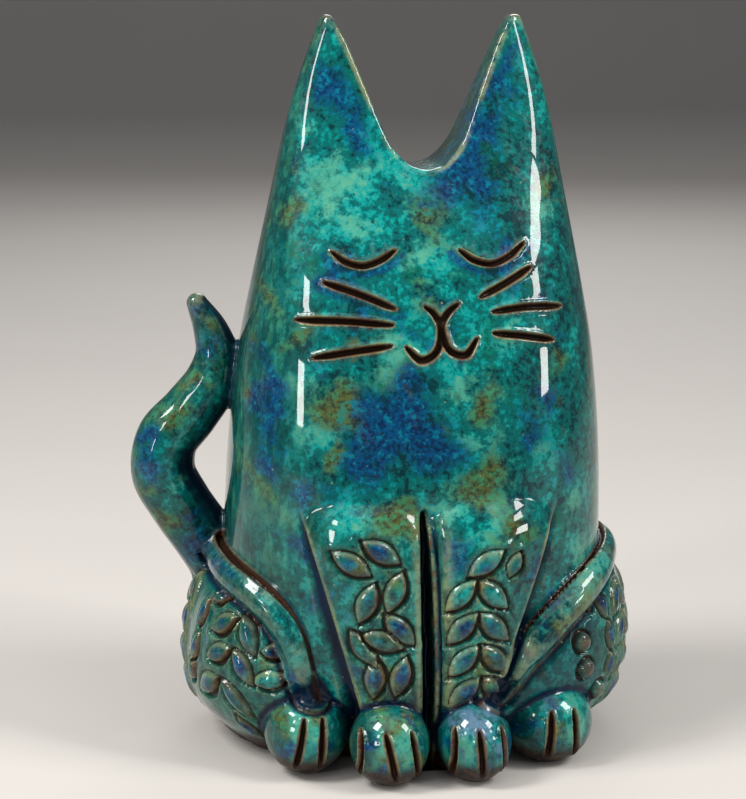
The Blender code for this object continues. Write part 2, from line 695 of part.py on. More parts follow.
def make_cat():
    body = make_body()
    cut_notch(body)
    chest = [body, make_leg("leg_left", LEFT), make_leg("leg_right", RIGHT)]
    for form in chest:
        cut(form, make_slot())
    cat = join("clay_cat", chest)
    knead(cat, SPONGE_STROKES)
    forms = make_paws() + make_tail()
    for word, side in (("left", LEFT), ("right", RIGHT)):
        forms += [make_haunch(f"haunch_{word}", side), make_roll(f"roll_{word}", side)]
    cat = join("clay_cat", [cat, *forms])
    knead(cat, 2)
    carve(cat)
    thin = cat.modifiers.new("facets", "DECIMATE")
    thin.ratio = min(1.0, FACET_BUDGET / (2 * len(cat.data.polygons)))
    flat = cat.modifiers.new("underside", "BOOLEAN")
    flat.operation = "DIFFERENCE"
    flat.solver = "EXACT"
    flat.object = make_ground()
    cat.data.materials.clear()
    cat.data.materials.append(make_glaze())
    return cat


for old in list(bpy.data.objects):
    bpy.data.objects.remove(old)
make_cat()
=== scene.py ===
"""A hand-built clay cat under a glossy reactive glaze, and the table it is photographed on.

Metres, +Z up. The cat faces -Y, +X is the viewer's right, and the origin lies on the
underside, on the body's upright axis. Places on the figure are shares of its half width,
its half depth and its height, as in the solid model that this one is laid over.
"""

import json
import math

import bmesh
import bpy
import numpy as np
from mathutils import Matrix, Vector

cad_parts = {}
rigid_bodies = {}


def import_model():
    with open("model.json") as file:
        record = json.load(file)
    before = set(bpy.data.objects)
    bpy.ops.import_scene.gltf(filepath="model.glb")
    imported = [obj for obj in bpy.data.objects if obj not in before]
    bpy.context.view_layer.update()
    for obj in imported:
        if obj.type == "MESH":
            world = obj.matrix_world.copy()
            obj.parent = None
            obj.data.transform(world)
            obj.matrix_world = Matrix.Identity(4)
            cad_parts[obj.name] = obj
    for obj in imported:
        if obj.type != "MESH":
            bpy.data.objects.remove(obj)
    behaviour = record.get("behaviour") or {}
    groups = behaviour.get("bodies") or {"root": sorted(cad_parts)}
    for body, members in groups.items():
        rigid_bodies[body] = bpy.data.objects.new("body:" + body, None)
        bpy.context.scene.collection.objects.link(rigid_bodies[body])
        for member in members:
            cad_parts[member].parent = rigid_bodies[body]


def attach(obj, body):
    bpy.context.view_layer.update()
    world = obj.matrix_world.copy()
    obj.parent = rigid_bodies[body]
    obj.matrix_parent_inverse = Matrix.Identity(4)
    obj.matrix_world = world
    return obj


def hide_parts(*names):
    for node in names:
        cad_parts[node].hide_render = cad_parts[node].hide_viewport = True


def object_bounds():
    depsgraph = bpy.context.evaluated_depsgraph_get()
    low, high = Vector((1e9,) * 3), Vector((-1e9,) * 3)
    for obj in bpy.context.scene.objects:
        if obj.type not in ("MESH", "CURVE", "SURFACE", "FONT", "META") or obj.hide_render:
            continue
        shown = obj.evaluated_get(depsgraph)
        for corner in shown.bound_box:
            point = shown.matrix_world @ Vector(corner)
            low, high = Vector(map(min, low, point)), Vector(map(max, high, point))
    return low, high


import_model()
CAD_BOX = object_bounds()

bl_info = {
    "name": "Clay cat",
    "version": (1, 0, 0),
    "blender": (4, 5, 0),
    "location": "3D View > Sidebar > Clay cat",
    "description": "Models a hand-built, glazed clay cat and the studio round it",
    "category": "Add Mesh",
}

LEFT, RIGHT = -1, 1
# Strokes of the sponge over the body with its legs, and over the whole figure.
CHEST_STROKES, SKIN_STROKES = 7, 4


def length(name, description, default):
    """A size in metres that a user can change."""
    return bpy.props.FloatProperty(
        name=name, description=description, default=default, min=0.0, precision=4, subtype="DISTANCE",
        unit="LENGTH",
    )


def colour(name, description, default):
    """A colour, in linear values, that a user can change."""
    return bpy.props.FloatVectorProperty(
        name=name, description=description, default=default, size=3, min=0.0, max=1.0, subtype="COLOR"
    )


def watts(name, description, default):
    """A lamp's strength in watts that a user can change."""
    return bpy.props.FloatProperty(
        name=name, description=description, default=default, min=0.0, subtype="POWER", unit="POWER"
    )


class CatForm(bpy.types.PropertyGroup):
    """Sizes of the figure's forms."""

    height: length("Height", "From the underside to the ear tips", 0.210)
    body_width: length("Body width", "The bell of the body at its widest", 0.1085)
    body_depth: length("Body depth", "The bell of the body from front to back", 0.084)
    notch_width: length("Notch width", "The gap between the ear tips", 0.0560)
    notch_depth: length("Notch depth", "From the ear tips down to the gap's floor", 0.0425)
    leg_height: length("Leg height", "From the floor to the front legs' shoulders", 0.081)
    leg_rise: length("Leg rise", "How far the front legs stand proud of the belly", 0.0055)
    slot_width: length("Slot width", "The gap between the front legs", 0.0050)
    slot_depth: length("Slot depth", "How deep the gap between the front legs goes", 0.017)
    front_paw_width: length("Front paw width", "Across one front paw", 0.0218)
    hind_paw_width: length("Hind paw width", "Across one hind paw", 0.0248)
    haunch_bulge: length("Thigh bulge", "How far the thighs stand off the body", 0.0122)
    roll_width: length("Roll width", "The coil that edges each thigh", 0.0086)
    tail_width: length("Tail width", "The tail's coil at its thickest", 0.0204)


class CatMarks(bpy.types.PropertyGroup):
    """Sizes of the tool marks and of the pressed leaves."""

    stroke_width: length("Stroke width", "Width of the furrows of the face", 0.0021)
    stroke_depth: length("Stroke depth", "Depth of the furrows of the face", 0.0019)
    claw_width: length("Claw width", "Width of the claw marks", 0.0019)
    claw_depth: length("Claw depth", "Depth of the claw marks", 0.0019)
    burr: length("Burr", "Height of the lip that a tool pushes up beside its furrow", 0.00046)
    leaf_length: length("Leaf length", "A pressed leaf from stalk to tip", 0.0126)
    leaf_width: length("Leaf width", "A pressed leaf at its widest", 0.0060)
    leaf_height: length("Leaf height", "How far a leaf swells out", 0.0013)
    leaf_groove: length("Leaf groove", "Depth of the line round a leaf", 0.0012)
    leaf_row: length("Leaf row", "From one pair of leaves to the next", 0.0094)
    berry_width: length("Berry width", "Across one berry on the right thigh", 0.0058)
    step_depth: length("Step depth", "How far the skin drops beside a front leg", 0.0026)
    slot_rounding: length("Slot rounding", "How far the edge of the slot's right wall is taken down", 0.0022)
    roll_dip: length("Roll dip", "Depth of the hollow between a thigh's roll and its leaves", 0.0015)
    roll_fill: length("Roll fill", "How much fuller the right roll is in front", 0.0011)
    roll_end: length("Roll end", "How far the lower end of a roll is pressed in", 0.0013)
    chest_grain: length("Chest grain", "Fineness of the clay of body and front legs", 0.0007)
    clay_grain: length("Clay grain", "Fineness of the skin before it is thinned", 0.0005)
    triangles: bpy.props.IntProperty(
        name="Triangles", description="How many triangles the thinned skin may have", default=196000,
        min=20000,
    )


class CatGlaze(bpy.types.PropertyGroup):
    """Colours of the reactive glaze, some of them also laid as painted shade in hollows and on the flanks.
    """

    deep_teal: colour("Deep teal", "Glaze where it lies thick", (0.0, 0.026, 0.032))
    teal: colour("Teal", "The main colour", (0.0, 0.098, 0.092))
    turquoise: colour("Turquoise", "Lighter clouds in the glaze", (0.0, 0.235, 0.215))
    sea_green: colour("Sea green", "The palest clouds", (0.085, 0.300, 0.190))
    green: colour("Green", "Copper green between the teal", (0.001, 0.085, 0.036))
    cobalt: colour("Cobalt", "Blue pools", (0.0, 0.034, 0.135))
    deep_cobalt: colour("Deep cobalt", "Dark grains in the blue pools", (0.001, 0.006, 0.060))
    # Navy is painted shade in hollows, crevices and steps, as well as glaze that ran together there.
    navy: colour("Navy", "Glaze that ran together in the hollows", (0.0015, 0.005, 0.020))
    milk: colour("Milk", "Cloudy blue on the right front paw", (0.120, 0.175, 0.330))
    olive: colour("Olive", "Patches where iron shows through", (0.088, 0.092, 0.014))
    # Cream is also painted highlight on the leaves' upper rims and on the pale flecks.
    cream: colour("Cream", "Thin glaze on raised edges", (0.225, 0.250, 0.115))
    brown: colour("Brown", "Edges that the glaze has left bare", (0.110, 0.040, 0.013))
    furrow: colour("Furrow", "Bare clay at the bottom of the tool marks", (0.018, 0.009, 0.005))
    # Colours laid by which way the skin faces: painted shade on the flanks and along the side edges,
    # streaked with the glaze's green and olive.
    flank_shade_teal: colour("Flank teal", "Deep glaze on the flanks", (0.0, 0.034, 0.034))
    flank_shade_green: colour("Flank green", "Streaks on the flanks", (0.020, 0.110, 0.060))
    edge_shade_blue: colour("Dusk blue", "Dark runs along the sides", (0.002, 0.014, 0.030))
    edge_shade_olive: colour("Dusk olive", "Warmer runs along the sides", (0.036, 0.058, 0.018))
    umber: colour("Umber", "Dark grains in the olive patches", (0.036, 0.030, 0.006))
    moss: colour("Moss", "Green grains in the olive patches", (0.040, 0.165, 0.065))
    azure: colour("Azure", "Light flecks in the blue pools", (0.0, 0.115, 0.190))
    deep_sage: colour("Deep sage", "Dark grains between the leaves", (0.008, 0.070, 0.038))
    sage: colour("Sage", "The clay between the leaves", (0.085, 0.205, 0.095))
    # Painted shade in shallow hollows, partly glaze beginning to run together there.
    thick: colour("Thick glaze", "Where the glaze begins to run together", (0.0, 0.030, 0.055))
    # Night is bluer painted shade in the crevices, mixed with the navy.
    night: colour("Night", "Bluer glaze in the crevices", (0.001, 0.013, 0.042))
    # Rust is also painted shade on the leaves' lower rims.
    rust: colour("Rust", "Lighter grains on the bare edges", (0.200, 0.090, 0.028))
    soot: colour("Soot", "Dark grains on the bare foot", (0.014, 0.006, 0.004))
    bare_foot: colour("Bare foot", "The unglazed edge along the floor", (0.055, 0.023, 0.011))
    gloss: bpy.props.FloatProperty(
        name="Gloss", description="Share of the surface under clear, glassy glaze", default=1.0, min=0.0,
        max=1.0, subtype="FACTOR",
    )


class CatStudio(bpy.types.PropertyGroup):
    """The table, the lamps and the camera."""

    table: colour("Table", "The pale surface that the cat stands on", (0.47, 0.445, 0.42))
    view_turn: bpy.props.FloatProperty(
        name="View turn", description="How far the camera stands round to +X", default=math.radians(-8),
        subtype="ANGLE", unit="ROTATION",
    )
    view_dip: bpy.props.FloatProperty(
        name="View dip", description="How far the camera looks down", default=math.radians(10.943),
        subtype="ANGLE", unit="ROTATION",
    )
    distance: length("Distance", "From the camera to the cat's axis", 0.62)
    eye_height: length("Eye height", "Height of the camera", 0.22)
    aside: length("Aside", "How far to its own left the camera is moved", 0.01137)
    lens: bpy.props.FloatProperty(
        name="Lens", description="Focal length", default=98.3, min=10.0, subtype="DISTANCE_CAMERA",
        unit="CAMERA",
    )
    left_lamp: watts("Left lamp", "Strength of the left soft box; the panes beside it follow", 7.4)
    right_lamp: watts("Right lamp", "Strength of the right soft box; the panes beside it follow", 4.8)
    top_lamp: watts("Top lamp", "Strength of the fill from above", 6.5)
    rear_lamp: watts("Rear lamp", "Strength of the fill from behind", 7.0)
    air: bpy.props.FloatProperty(
        name="Air", description="Strength of the light from all round", default=0.17, min=0.0
    )
    floor_size: length("Floor size", "From edge to edge of the table", 6.0)
    wall_height: length("Wall height", "How high the backdrop rises behind the table", 2.4)
    cove: length("Cove", "How far from their corner table and backdrop begin to curve", 1.4)


def form():
    """The sizes of the figure's forms."""
    return bpy.context.scene.cat_form


def marks():
    """The sizes of the tool marks and leaves."""
    return bpy.context.scene.cat_marks


def at(across, forward, up):
    """A point given as shares of the body's half width, half depth and height."""
    f = form()
    return np.array((across * f.body_width / 2, -forward * f.body_depth / 2, up * f.height))


def lean(up):
    """How far the figure's middle drifts sideways: it leans a little to +X as it rises."""
    return 0.0171 * form().height * (up - 0.42)


def smooth_profile(knots, shares):
    """A smooth curve through the knots, as a function of the share along it."""
    knots = np.asarray(knots, float)
    values = np.asarray(shares, float)
    slopes = np.gradient(values, knots)

    def curve(t):
        t = np.clip(t, knots[0], knots[-1])
        i = np.clip(np.searchsorted(knots, t) - 1, 0, len(knots) - 2)
        span = knots[i + 1] - knots[i]
        s = (t - knots[i]) / span
        rise = values[i + 1] - values[i]
        start = slopes[i] * span
        end = slopes[i + 1] * span
        bend = (3 * rise - 2 * start - end) * s**2
        return values[i] + start * s + bend + (start + end - 2 * rise) * s**3

    return curve


def smooth_path(points, count):
    """Evenly numbered points along a smooth curve through the given ones."""
    points = np.asarray(points, float)
    steps = np.linalg.norm(np.diff(points[:, :3], axis=0), axis=1)
    knots = np.concatenate(([0.0], np.cumsum(steps)))
    along = np.linspace(0, knots[-1], count)
    columns = [smooth_profile(knots, points[:, column])(along) for column in range(points.shape[1])]
    return np.stack(columns, axis=1)


# The body's outline at shares of the height: half width, and depth before and behind its axis.
body_half_width = smooth_profile(
    (-0.06, 0.0, 0.05, 0.10, 0.25, 0.36, 0.43, 0.50, 0.57, 0.63, 0.70, 0.77, 0.84, 0.90, 0.95, 1.0, 1.03),
    (0.74, 0.83, 0.92, 0.96, 1.0, 0.995, 0.98, 0.955, 0.92, 0.875, 0.82, 0.765, 0.712, 0.655, 0.592,
     0.518, 0.47),
)
body_front_depth = smooth_profile(
    (-0.06, 0.0, 0.025, 0.05, 0.10, 0.22, 0.35, 0.45, 0.55, 0.65, 0.74, 0.82, 0.90, 1.03),
    (0.34, 0.50, 0.62, 0.73, 0.90, 0.99, 1.0, 0.96, 0.87, 0.72, 0.51, 0.33, 0.215, 0.10),
)
body_back_depth = smooth_profile(
    (-0.06, 0.0, 0.025, 0.05, 0.10, 0.22, 0.35, 0.45, 0.55, 0.65, 0.74, 0.82, 0.90, 1.03),
    (0.72, 0.82, 0.88, 0.92, 0.96, 0.995, 1.0, 0.96, 0.87, 0.72, 0.51, 0.33, 0.215, 0.10),
)
body_squareness = smooth_profile((-0.06, 0.30, 0.60, 0.80, 1.03), (2.3, 2.5, 2.8, 3.2, 3.2))


def on_body(turn, up, side=1, beyond=0.0):
    """A point of the body's skin: turned from the front towards one side, at a share of the height."""
    f = form()
    power = 2 / body_squareness(up)
    half_width = body_half_width(up) * f.body_width / 2 + beyond
    depth = body_front_depth(up) if np.cos(turn) > 0 else body_back_depth(up)
    half_depth = depth * f.body_depth / 2 + beyond
    x = np.sign(np.sin(turn)) * np.abs(np.sin(turn)) ** power * half_width
    y = -np.sign(np.cos(turn)) * np.abs(np.cos(turn)) ** power * half_depth
    return np.array((side * x + lean(up), y, up * f.height))


def body_front(x, up):
    """How far the body's skin stands before its axis, across and up the front."""
    f = form()
    power = float(body_squareness(up))
    share = min(0.999, abs(x) / (float(body_half_width(up)) * f.body_width / 2))
    return (1 - share**power) ** (1 / power) * float(body_front_depth(up)) * f.body_depth / 2


def outline(centre, half_width, depths, squareness, around):
    """One level of a form: a rounded oblong of points, its depth given before and behind the centre."""
    angles = np.linspace(0, 2 * math.pi, around, endpoint=False)
    c = np.cos(angles)
    s = np.sin(angles)
    x = np.sign(c) * np.abs(c) ** (2 / squareness) * half_width
    y = np.sign(s) * np.abs(s) ** (2 / squareness) * np.where(s < 0, depths[0], depths[1])
    return np.stack([centre[0] + x, centre[1] + y, np.full(around, centre[2])], axis=1)


def begin(name):
    """Names the object that an operator has just added, and opens it for editing."""
    obj = bpy.context.object
    obj.name = name
    obj.data.name = name
    bpy.ops.object.mode_set(mode="EDIT")
    shape = bmesh.from_edit_mesh(obj.data)
    place = shape.verts.layers.int.new("place")
    for i, v in enumerate(shape.verts):
        v[place] = i
    bmesh.update_edit_mesh(obj.data)
    return obj


def set_selected(obj, points):
    """Moves each selected vertex to the point that has its number."""
    shape = bmesh.from_edit_mesh(obj.data)
    place = shape.verts.layers.int["place"]
    for v in shape.verts:
        if v.select:
            v.co = points[v[place]]
    bmesh.update_edit_mesh(obj.data)


def close(obj):
    """Turns the faces outwards and leaves edit mode."""
    bpy.ops.mesh.select_all(action="SELECT")
    bpy.ops.mesh.normals_make_consistent(inside=False)
    bpy.ops.object.mode_set(mode="OBJECT")
    obj.data.attributes.remove(obj.data.attributes["place"])
    return obj


def column(name, rings):
    """A form raised ring by ring: a disc, extruded once for each ring and shaped to it."""
    bpy.ops.object.select_all(action="DESELECT")
    bpy.ops.mesh.primitive_circle_add(vertices=len(rings[0]), radius=0.01, fill_type="NGON")
    obj = begin(name)
    bpy.ops.mesh.select_all(action="SELECT")
    set_selected(obj, rings[0])
    for points in rings[1:]:
        bpy.ops.mesh.extrude_region_move(TRANSFORM_OT_translate={"value": (0.0, 0.0, 0.001)})
        set_selected(obj, points)
    return close(obj)


def padded_sheet(name, outer, inner):
    """A slab between two grids of points: a grid is laid on the outer one and extruded to the inner."""
    rows, columns = outer.shape[:2]
    bpy.ops.object.select_all(action="DESELECT")
    bpy.ops.mesh.primitive_grid_add(x_subdivisions=columns - 1, y_subdivisions=rows - 1, size=1.0)
    obj = begin(name)
    bpy.ops.mesh.select_all(action="SELECT")
    shape = bmesh.from_edit_mesh(obj.data)
    place = shape.verts.layers.int["place"]
    for v in shape.verts:
        v[place] = round((v.co.y + 0.5) * (rows - 1)) * columns + round((v.co.x + 0.5) * (columns - 1))
    bmesh.update_edit_mesh(obj.data)
    set_selected(obj, outer.reshape(-1, 3))
    bpy.ops.mesh.extrude_region_move(TRANSFORM_OT_translate={"value": (0.0, 0.0, 0.001)})
    set_selected(obj, inner.reshape(-1, 3))
    return close(obj)


def coil(name, path, radii):
    """A rolled coil of clay along a path, with rounded ends."""
    ahead = np.gradient(path, axis=0)
    ahead /= np.linalg.norm(ahead, axis=1)[:, None]
    caps = np.radians((84, 68, 52, 36, 18))
    stations = [(path[0] - ahead[0] * radii[0] * math.sin(c), radii[0] * math.cos(c)) for c in caps]
    stations += list(zip(path, radii))
    for c in caps[::-1]:
        stations.append((path[-1] + ahead[-1] * radii[-1] * math.sin(c), radii[-1] * math.cos(c)))
    bpy.ops.object.select_all(action="DESELECT")
    bpy.ops.curve.primitive_nurbs_path_add()
    obj = bpy.context.object
    obj.name = name
    curve = obj.data
    curve.splines.clear()
    spline = curve.splines.new("POLY")
    spline.points.add(len(stations) - 1)
    for point, (place, radius) in zip(spline.points, stations):
        point.co = (*place, 1.0)
        point.radius = radius
    curve.bevel_depth = 1.0
    curve.bevel_resolution = 8
    curve.use_fill_caps = True
    bpy.ops.object.convert(target="MESH")
    return bpy.context.object


def ball(name, centre, radii):
    """A ball of clay, pressed to three radii."""
    bpy.ops.object.select_all(action="DESELECT")
    bpy.ops.mesh.primitive_uv_sphere_add(segments=64, ring_count=40, radius=1.0)
    obj = bpy.context.object
    obj.name = name
    bpy.ops.transform.resize(value=[float(r) for r in radii])
    bpy.ops.transform.translate(value=[float(c) for c in centre])
    bpy.ops.object.transform_apply(location=True, rotation=True, scale=True)
    return obj


def only(*objects):
    """Selects these objects and no others; the first is the active one."""
    bpy.ops.object.select_all(action="DESELECT")
    for obj in objects:
        obj.select_set(True)
    bpy.context.view_layer.objects.active = objects[0]


def apply(obj, kind, **settings):
    """Puts a modifier on an object and applies it."""
    only(obj)
    modifier = obj.modifiers.new(kind.lower(), kind)
    for name, value in settings.items():
        setattr(modifier, name, value)
    bpy.ops.object.modifier_apply(modifier=modifier.name)


def cut(obj, cutter):
    """Takes the cutter's shape out of an object."""
    apply(obj, "BOOLEAN", operation="DIFFERENCE", solver="EXACT", object=cutter)
    bpy.data.objects.remove(cutter)


def merge(name, *objects):
    """One object from several."""
    only(*objects)
    bpy.ops.object.join()
    obj = bpy.context.object
    obj.name = name
    return obj


def knead(obj, grain, strokes):
    """Makes overlapping forms one skin of clay, and sponges its edges round."""
    apply(obj, "REMESH", mode="VOXEL", voxel_size=grain)
    if strokes:
        apply(obj, "SMOOTH", factor=0.5, iterations=strokes)


def make_body():
    """The bell of the body, with its top cut into two ears."""
    f = form()
    rings = [
        outline(
            (lean(up), 0.0, up * f.height),
            body_half_width(up) * f.body_width / 2,
            (body_front_depth(up) * f.body_depth / 2, body_back_depth(up) * f.body_depth / 2),
            body_squareness(up),
            224,
        )
        for up in np.linspace(-0.05, 1.0, 130)
    ]
    body = column("body", rings)
    half_width = smooth_profile(
        (0.0, 0.02, 0.07, 0.16, 0.28, 0.48, 0.68, 0.84, 1.0, 1.25),
        (0.0, 0.12, 0.23, 0.345, 0.43, 0.55, 0.67, 0.77, 0.905, 1.12),
    )
    rises = np.concatenate((np.linspace(0, 0.1, 10)[1:], np.linspace(0.12, 1.25, 40)))
    floor = f.height - f.notch_depth
    side = [(half_width(r) * f.notch_width / 2, floor + r * f.notch_depth) for r in rises]
    edge = [(-x, z) for x, z in reversed(side)] + [(0.0, floor)] + side
    rings = [np.array([(x + lean(0.9), y, z) for x, z in edge]) for y in (-f.body_depth, f.body_depth)]
    cut(body, column("notch_cutter", rings))
    return body


# Edges of the front legs, and the slot between them, as shares of the half width: low down and high up.
LEG_OUTER = {LEFT: (-0.380, -0.655), RIGHT: (0.285, 0.620)}
SLOT_LINE = (-0.020, -0.066)
leg_profile = smooth_profile(
    (-0.10, 0.0, 0.14, 0.28, 0.40, 0.55, 0.70, 0.82, 0.92, 1.0),
    (-1.5, -1.1, -0.25, 0.62, 0.95, 0.97, 0.92, 0.76, 0.46, -0.05),
)


def slot_middle(height):
    """Where the slot between the legs runs at a height."""
    f = form()
    up = min(1.0, max(0.0, height / (0.36 * f.height)))
    return (SLOT_LINE[0] + (SLOT_LINE[1] - SLOT_LINE[0]) * up) * f.body_width / 2


def leg_edges(side, height):
    """Where a front leg's outer and inner edges run at a height."""
    f = form()
    up = (height / f.leg_height - 0.25) / 0.65
    outer = (LEG_OUTER[side][0] + (LEG_OUTER[side][1] - LEG_OUTER[side][0]) * up) * f.body_width / 2
    inner = slot_middle(height) - side * 0.1 * f.slot_width
    if height > f.leg_height * 0.84:
        spread = math.sqrt(max(0.02, 1 - ((height / f.leg_height - 0.84) / 0.17) ** 2))
        middle = 0.46 * outer + 0.54 * inner
        outer = middle + (outer - middle) * spread
        inner = middle + (inner - middle) * spread
    return outer, inner


def make_slot():
    """The wedge that parts the front legs, pointed at its top."""
    f = form()
    rings = []
    for share, wide in ((-0.05, 1.0), (0.10, 1.0), (0.22, 1.0), (0.30, 0.90), (0.345, 0.64), (0.384, 0.18)):
        height = share * f.height
        middle = slot_middle(height)
        half = wide * f.slot_width / 2
        back = -f.body_depth / 2 - f.leg_rise + f.slot_depth * (0.30 + 0.70 * wide)
        edge = ((half, -f.body_depth), (half * 0.6, back), (-half * 0.6, back), (-half, -f.body_depth))
        rings.append(np.array([(middle + x, y, height) for x, y in edge]))
    return column("slot_cutter", rings)


def make_leg(name, side):
    """A front leg: a slab that stands proud of the belly and fades into the chest."""
    f = form()
    rings = []
    for height in np.linspace(-0.1 * f.leg_height, f.leg_height, 60):
        share = height / f.height
        outer, inner = leg_edges(side, height)
        rise = float(leg_profile(height / f.leg_height)) * f.leg_rise
        front = []
        back = []
        for step in np.linspace(-1, 1, 40):
            x = (outer + inner) / 2 + side * step * abs(outer - inner) / 2
            skin = body_front(x, max(share, 0.17))
            drop = 0.35 * f.leg_rise * abs(step) ** 5
            front.append((x, -(skin + rise - drop), height))
            back.append((x, -(min(skin, body_front(x, max(share, 0.02))) - 0.010), height))
        rings.append(np.array(front + back[::-1]))
    return column(name, rings)


# Paws: place as shares of half width, half depth and height, and size beside the named width.
PAWS = {
    ("front", LEFT): ((-0.235, 1.00, 0.0545), (1.03, 1.10, 1.09)),
    ("front", RIGHT): ((0.206, 1.00, 0.0535), (0.955, 1.10, 1.08)),
    ("hind", LEFT): ((-0.640, 0.70, 0.0595), (0.96, 1.06, 1.02)),
    ("hind", RIGHT): ((0.642, 0.68, 0.0545), (1.045, 1.06, 0.97)),
}


def paw_shape(pair, side):
    """A paw's middle and its three radii."""
    f = form()
    place, size = PAWS[pair, side]
    width = f.front_paw_width if pair == "front" else f.hind_paw_width
    return at(*place), np.array(size) * width / 2


# The rolled edge of each thigh, and the groove beside it: degrees from the front, share of the height.
ROLL_KNOTS = {
    LEFT: (
        (33, 0.105), (36, 0.137), (38, 0.169), (41, 0.199), (47, 0.225), (57, 0.245), (72, 0.259),
        (90, 0.265), (110, 0.257), (130, 0.226), (146, 0.170), (154, 0.100), (158, 0.010),
    ),
    RIGHT: (
        (15, 0.112), (18, 0.132), (22, 0.158), (29, 0.186), (37, 0.214), (48, 0.240), (61, 0.261),
        (80, 0.271), (102, 0.266), (122, 0.243), (140, 0.190), (152, 0.110), (158, 0.010),
    ),
}
ROLL_GROOVE = {
    LEFT: (
        (30, 0.108), (31, 0.132), (33, 0.157), (35, 0.186), (39, 0.217), (44, 0.239), (53, 0.260),
        (67, 0.276), (84, 0.284), (104, 0.280), (124, 0.258), (142, 0.205), (154, 0.125), (160, 0.030),
    ),
    RIGHT: (
        (11, 0.118), (15, 0.140), (19, 0.168), (25, 0.198), (33, 0.229), (45, 0.259), (58, 0.279),
        (78, 0.290), (100, 0.286), (122, 0.265), (142, 0.212), (156, 0.125), (163, 0.030),
    ),
}


def skin_path(knots, side, beyond, count):
    """A smooth path on the body's skin."""
    points = [on_body(math.radians(turn), up, side, beyond=beyond) for turn, up in knots]
    return smooth_path(points, count)


def roll_path(side):
    """The middle line of the roll, a little outside the body's skin."""
    return skin_path(ROLL_KNOTS[side], side, 0.16 * form().roll_width, 80)


def roll_height(side, turn):
    """How high, as a share of the height, the roll runs at a turn from the front."""
    knots = np.array(ROLL_KNOTS[side], float)
    return np.interp(turn, np.radians(knots[:, 0]), knots[:, 1])


def make_roll(name, side):
    """The smooth coil that edges a thigh."""
    path = roll_path(side)
    share = np.linspace(0, 1, len(path))
    radii = (0.62 + 0.38 * np.clip(share / 0.16, 0, 1)) * form().roll_width / 2
    return coil(name, path, radii)


thigh_swell = smooth_profile(
    np.radians((10, 25, 40, 55, 70, 85, 102, 118, 132, 146, 158)),
    (0.16, 0.26, 0.38, 0.55, 0.72, 0.87, 1.0, 1.02, 0.84, 0.48, 0.15),
)
THIGH_FULLNESS = {LEFT: 1.12, RIGHT: 1.0}
thigh_rounding = smooth_profile((-0.05, 0.0, 0.03, 0.07, 0.12, 0.3), (0.0, 0.12, 0.48, 0.86, 1.0, 1.0))


def make_haunch(name, side):
    """A thigh: clay laid on the body's side inside its rolled edge, fullest low down."""
    f = form()
    outer = []
    inner = []
    for turn in np.radians(np.linspace(ROLL_KNOTS[side][0][0] - 4, 160, 76)):
        top = float(roll_height(side, turn))
        fullness = float(thigh_swell(turn)) * THIGH_FULLNESS[side] * f.haunch_bulge
        outside = []
        inside = []
        for share in np.linspace(-0.22, 1.0, 46):
            up = share * top
            dome = (1 - max(0.0, share) ** 2.6) ** 0.62
            low = float(thigh_rounding(up))
            low += (1 - low) * min(1.0, max(0.0, (turn - 1.45) / 0.6))
            outside.append(on_body(turn, up, side, beyond=fullness * dome * low + 0.10 * f.roll_width))
            inside.append(on_body(turn, up, side, beyond=-0.24 * f.body_depth))
        outer.append(outside)
        inner.append(inside)
    return padded_sheet(name, np.array(outer), np.array(inner))


# The tail's middle line as shares of half width, half depth and height, and its share of the named width.
TAIL_POINTS = (
    (-0.740, -0.46, 0.120, 0.92), (-0.880, -0.42, 0.175, 0.92), (-0.990, -0.38, 0.228, 0.92),
    (-1.122, -0.33, 0.283, 0.91), (-1.238, -0.29, 0.330, 0.91), (-1.322, -0.29, 0.375, 0.93),
    (-1.302, -0.29, 0.416, 0.90), (-1.171, -0.29, 0.457, 0.84), (-1.055, -0.29, 0.500, 0.76),
    (-1.025, -0.29, 0.540, 0.62), (-1.057, -0.29, 0.572, 0.50), (-1.125, -0.29, 0.608, 0.31),
)
# The clay that joins tail and body: its place likewise, and its radii beside the tail's width.
TAIL_JOIN = ((-0.935, -0.27, 0.520), (0.20, 0.20, 0.40))


# Strokes of the face, seen from the front: shares of the half width and of the height.
FACE_STROKES = (
    ((-0.482, 0.697), (-0.418, 0.685), (-0.335, 0.680), (-0.250, 0.686), (-0.165, 0.699)),
    ((0.163, 0.698), (0.235, 0.685), (0.322, 0.680), (0.415, 0.688), (0.505, 0.705)),
    ((-0.530, 0.659), (-0.360, 0.645), (-0.180, 0.626)),
    ((-0.670, 0.611), (-0.430, 0.611), (-0.195, 0.606)),
    ((-0.595, 0.564), (-0.400, 0.573), (-0.205, 0.580)),
    ((0.255, 0.639), (0.390, 0.655), (0.530, 0.674)),
    ((0.315, 0.620), (0.500, 0.624), (0.685, 0.622)),
    ((0.315, 0.593), (0.470, 0.588), (0.635, 0.580)),
    ((-0.030, 0.628), (0.012, 0.620), (0.043, 0.606), (0.044, 0.590), (0.014, 0.570), (-0.055, 0.561),
     (-0.135, 0.578)),
    ((0.140, 0.631), (0.091, 0.622), (0.052, 0.606), (0.058, 0.590), (0.092, 0.572), (0.160, 0.566),
     (0.230, 0.587)),
)
# How blue the glaze is under each of these strokes.
STROKE_BLUE = (0.95, 0.95, 0.8, 0.35, 0.3, 0.35, 0.2, 0.3, 0.2, 0.2)
# Claw marks: place across the paw at the mark's top and at its foot, as shares of the half width.
CLAWS = {
    ("front", LEFT): ((-0.77, -0.80), (-0.23, 0.03), (0.42, 0.62)),
    ("front", RIGHT): ((-0.65, -0.70), (-0.06, 0.07), (0.58, 0.70)),
    ("hind", LEFT): ((-0.14, -0.34), (0.30, 0.24)),
    ("hind", RIGHT): ((-0.10, -0.16), (0.42, 0.47)),
}
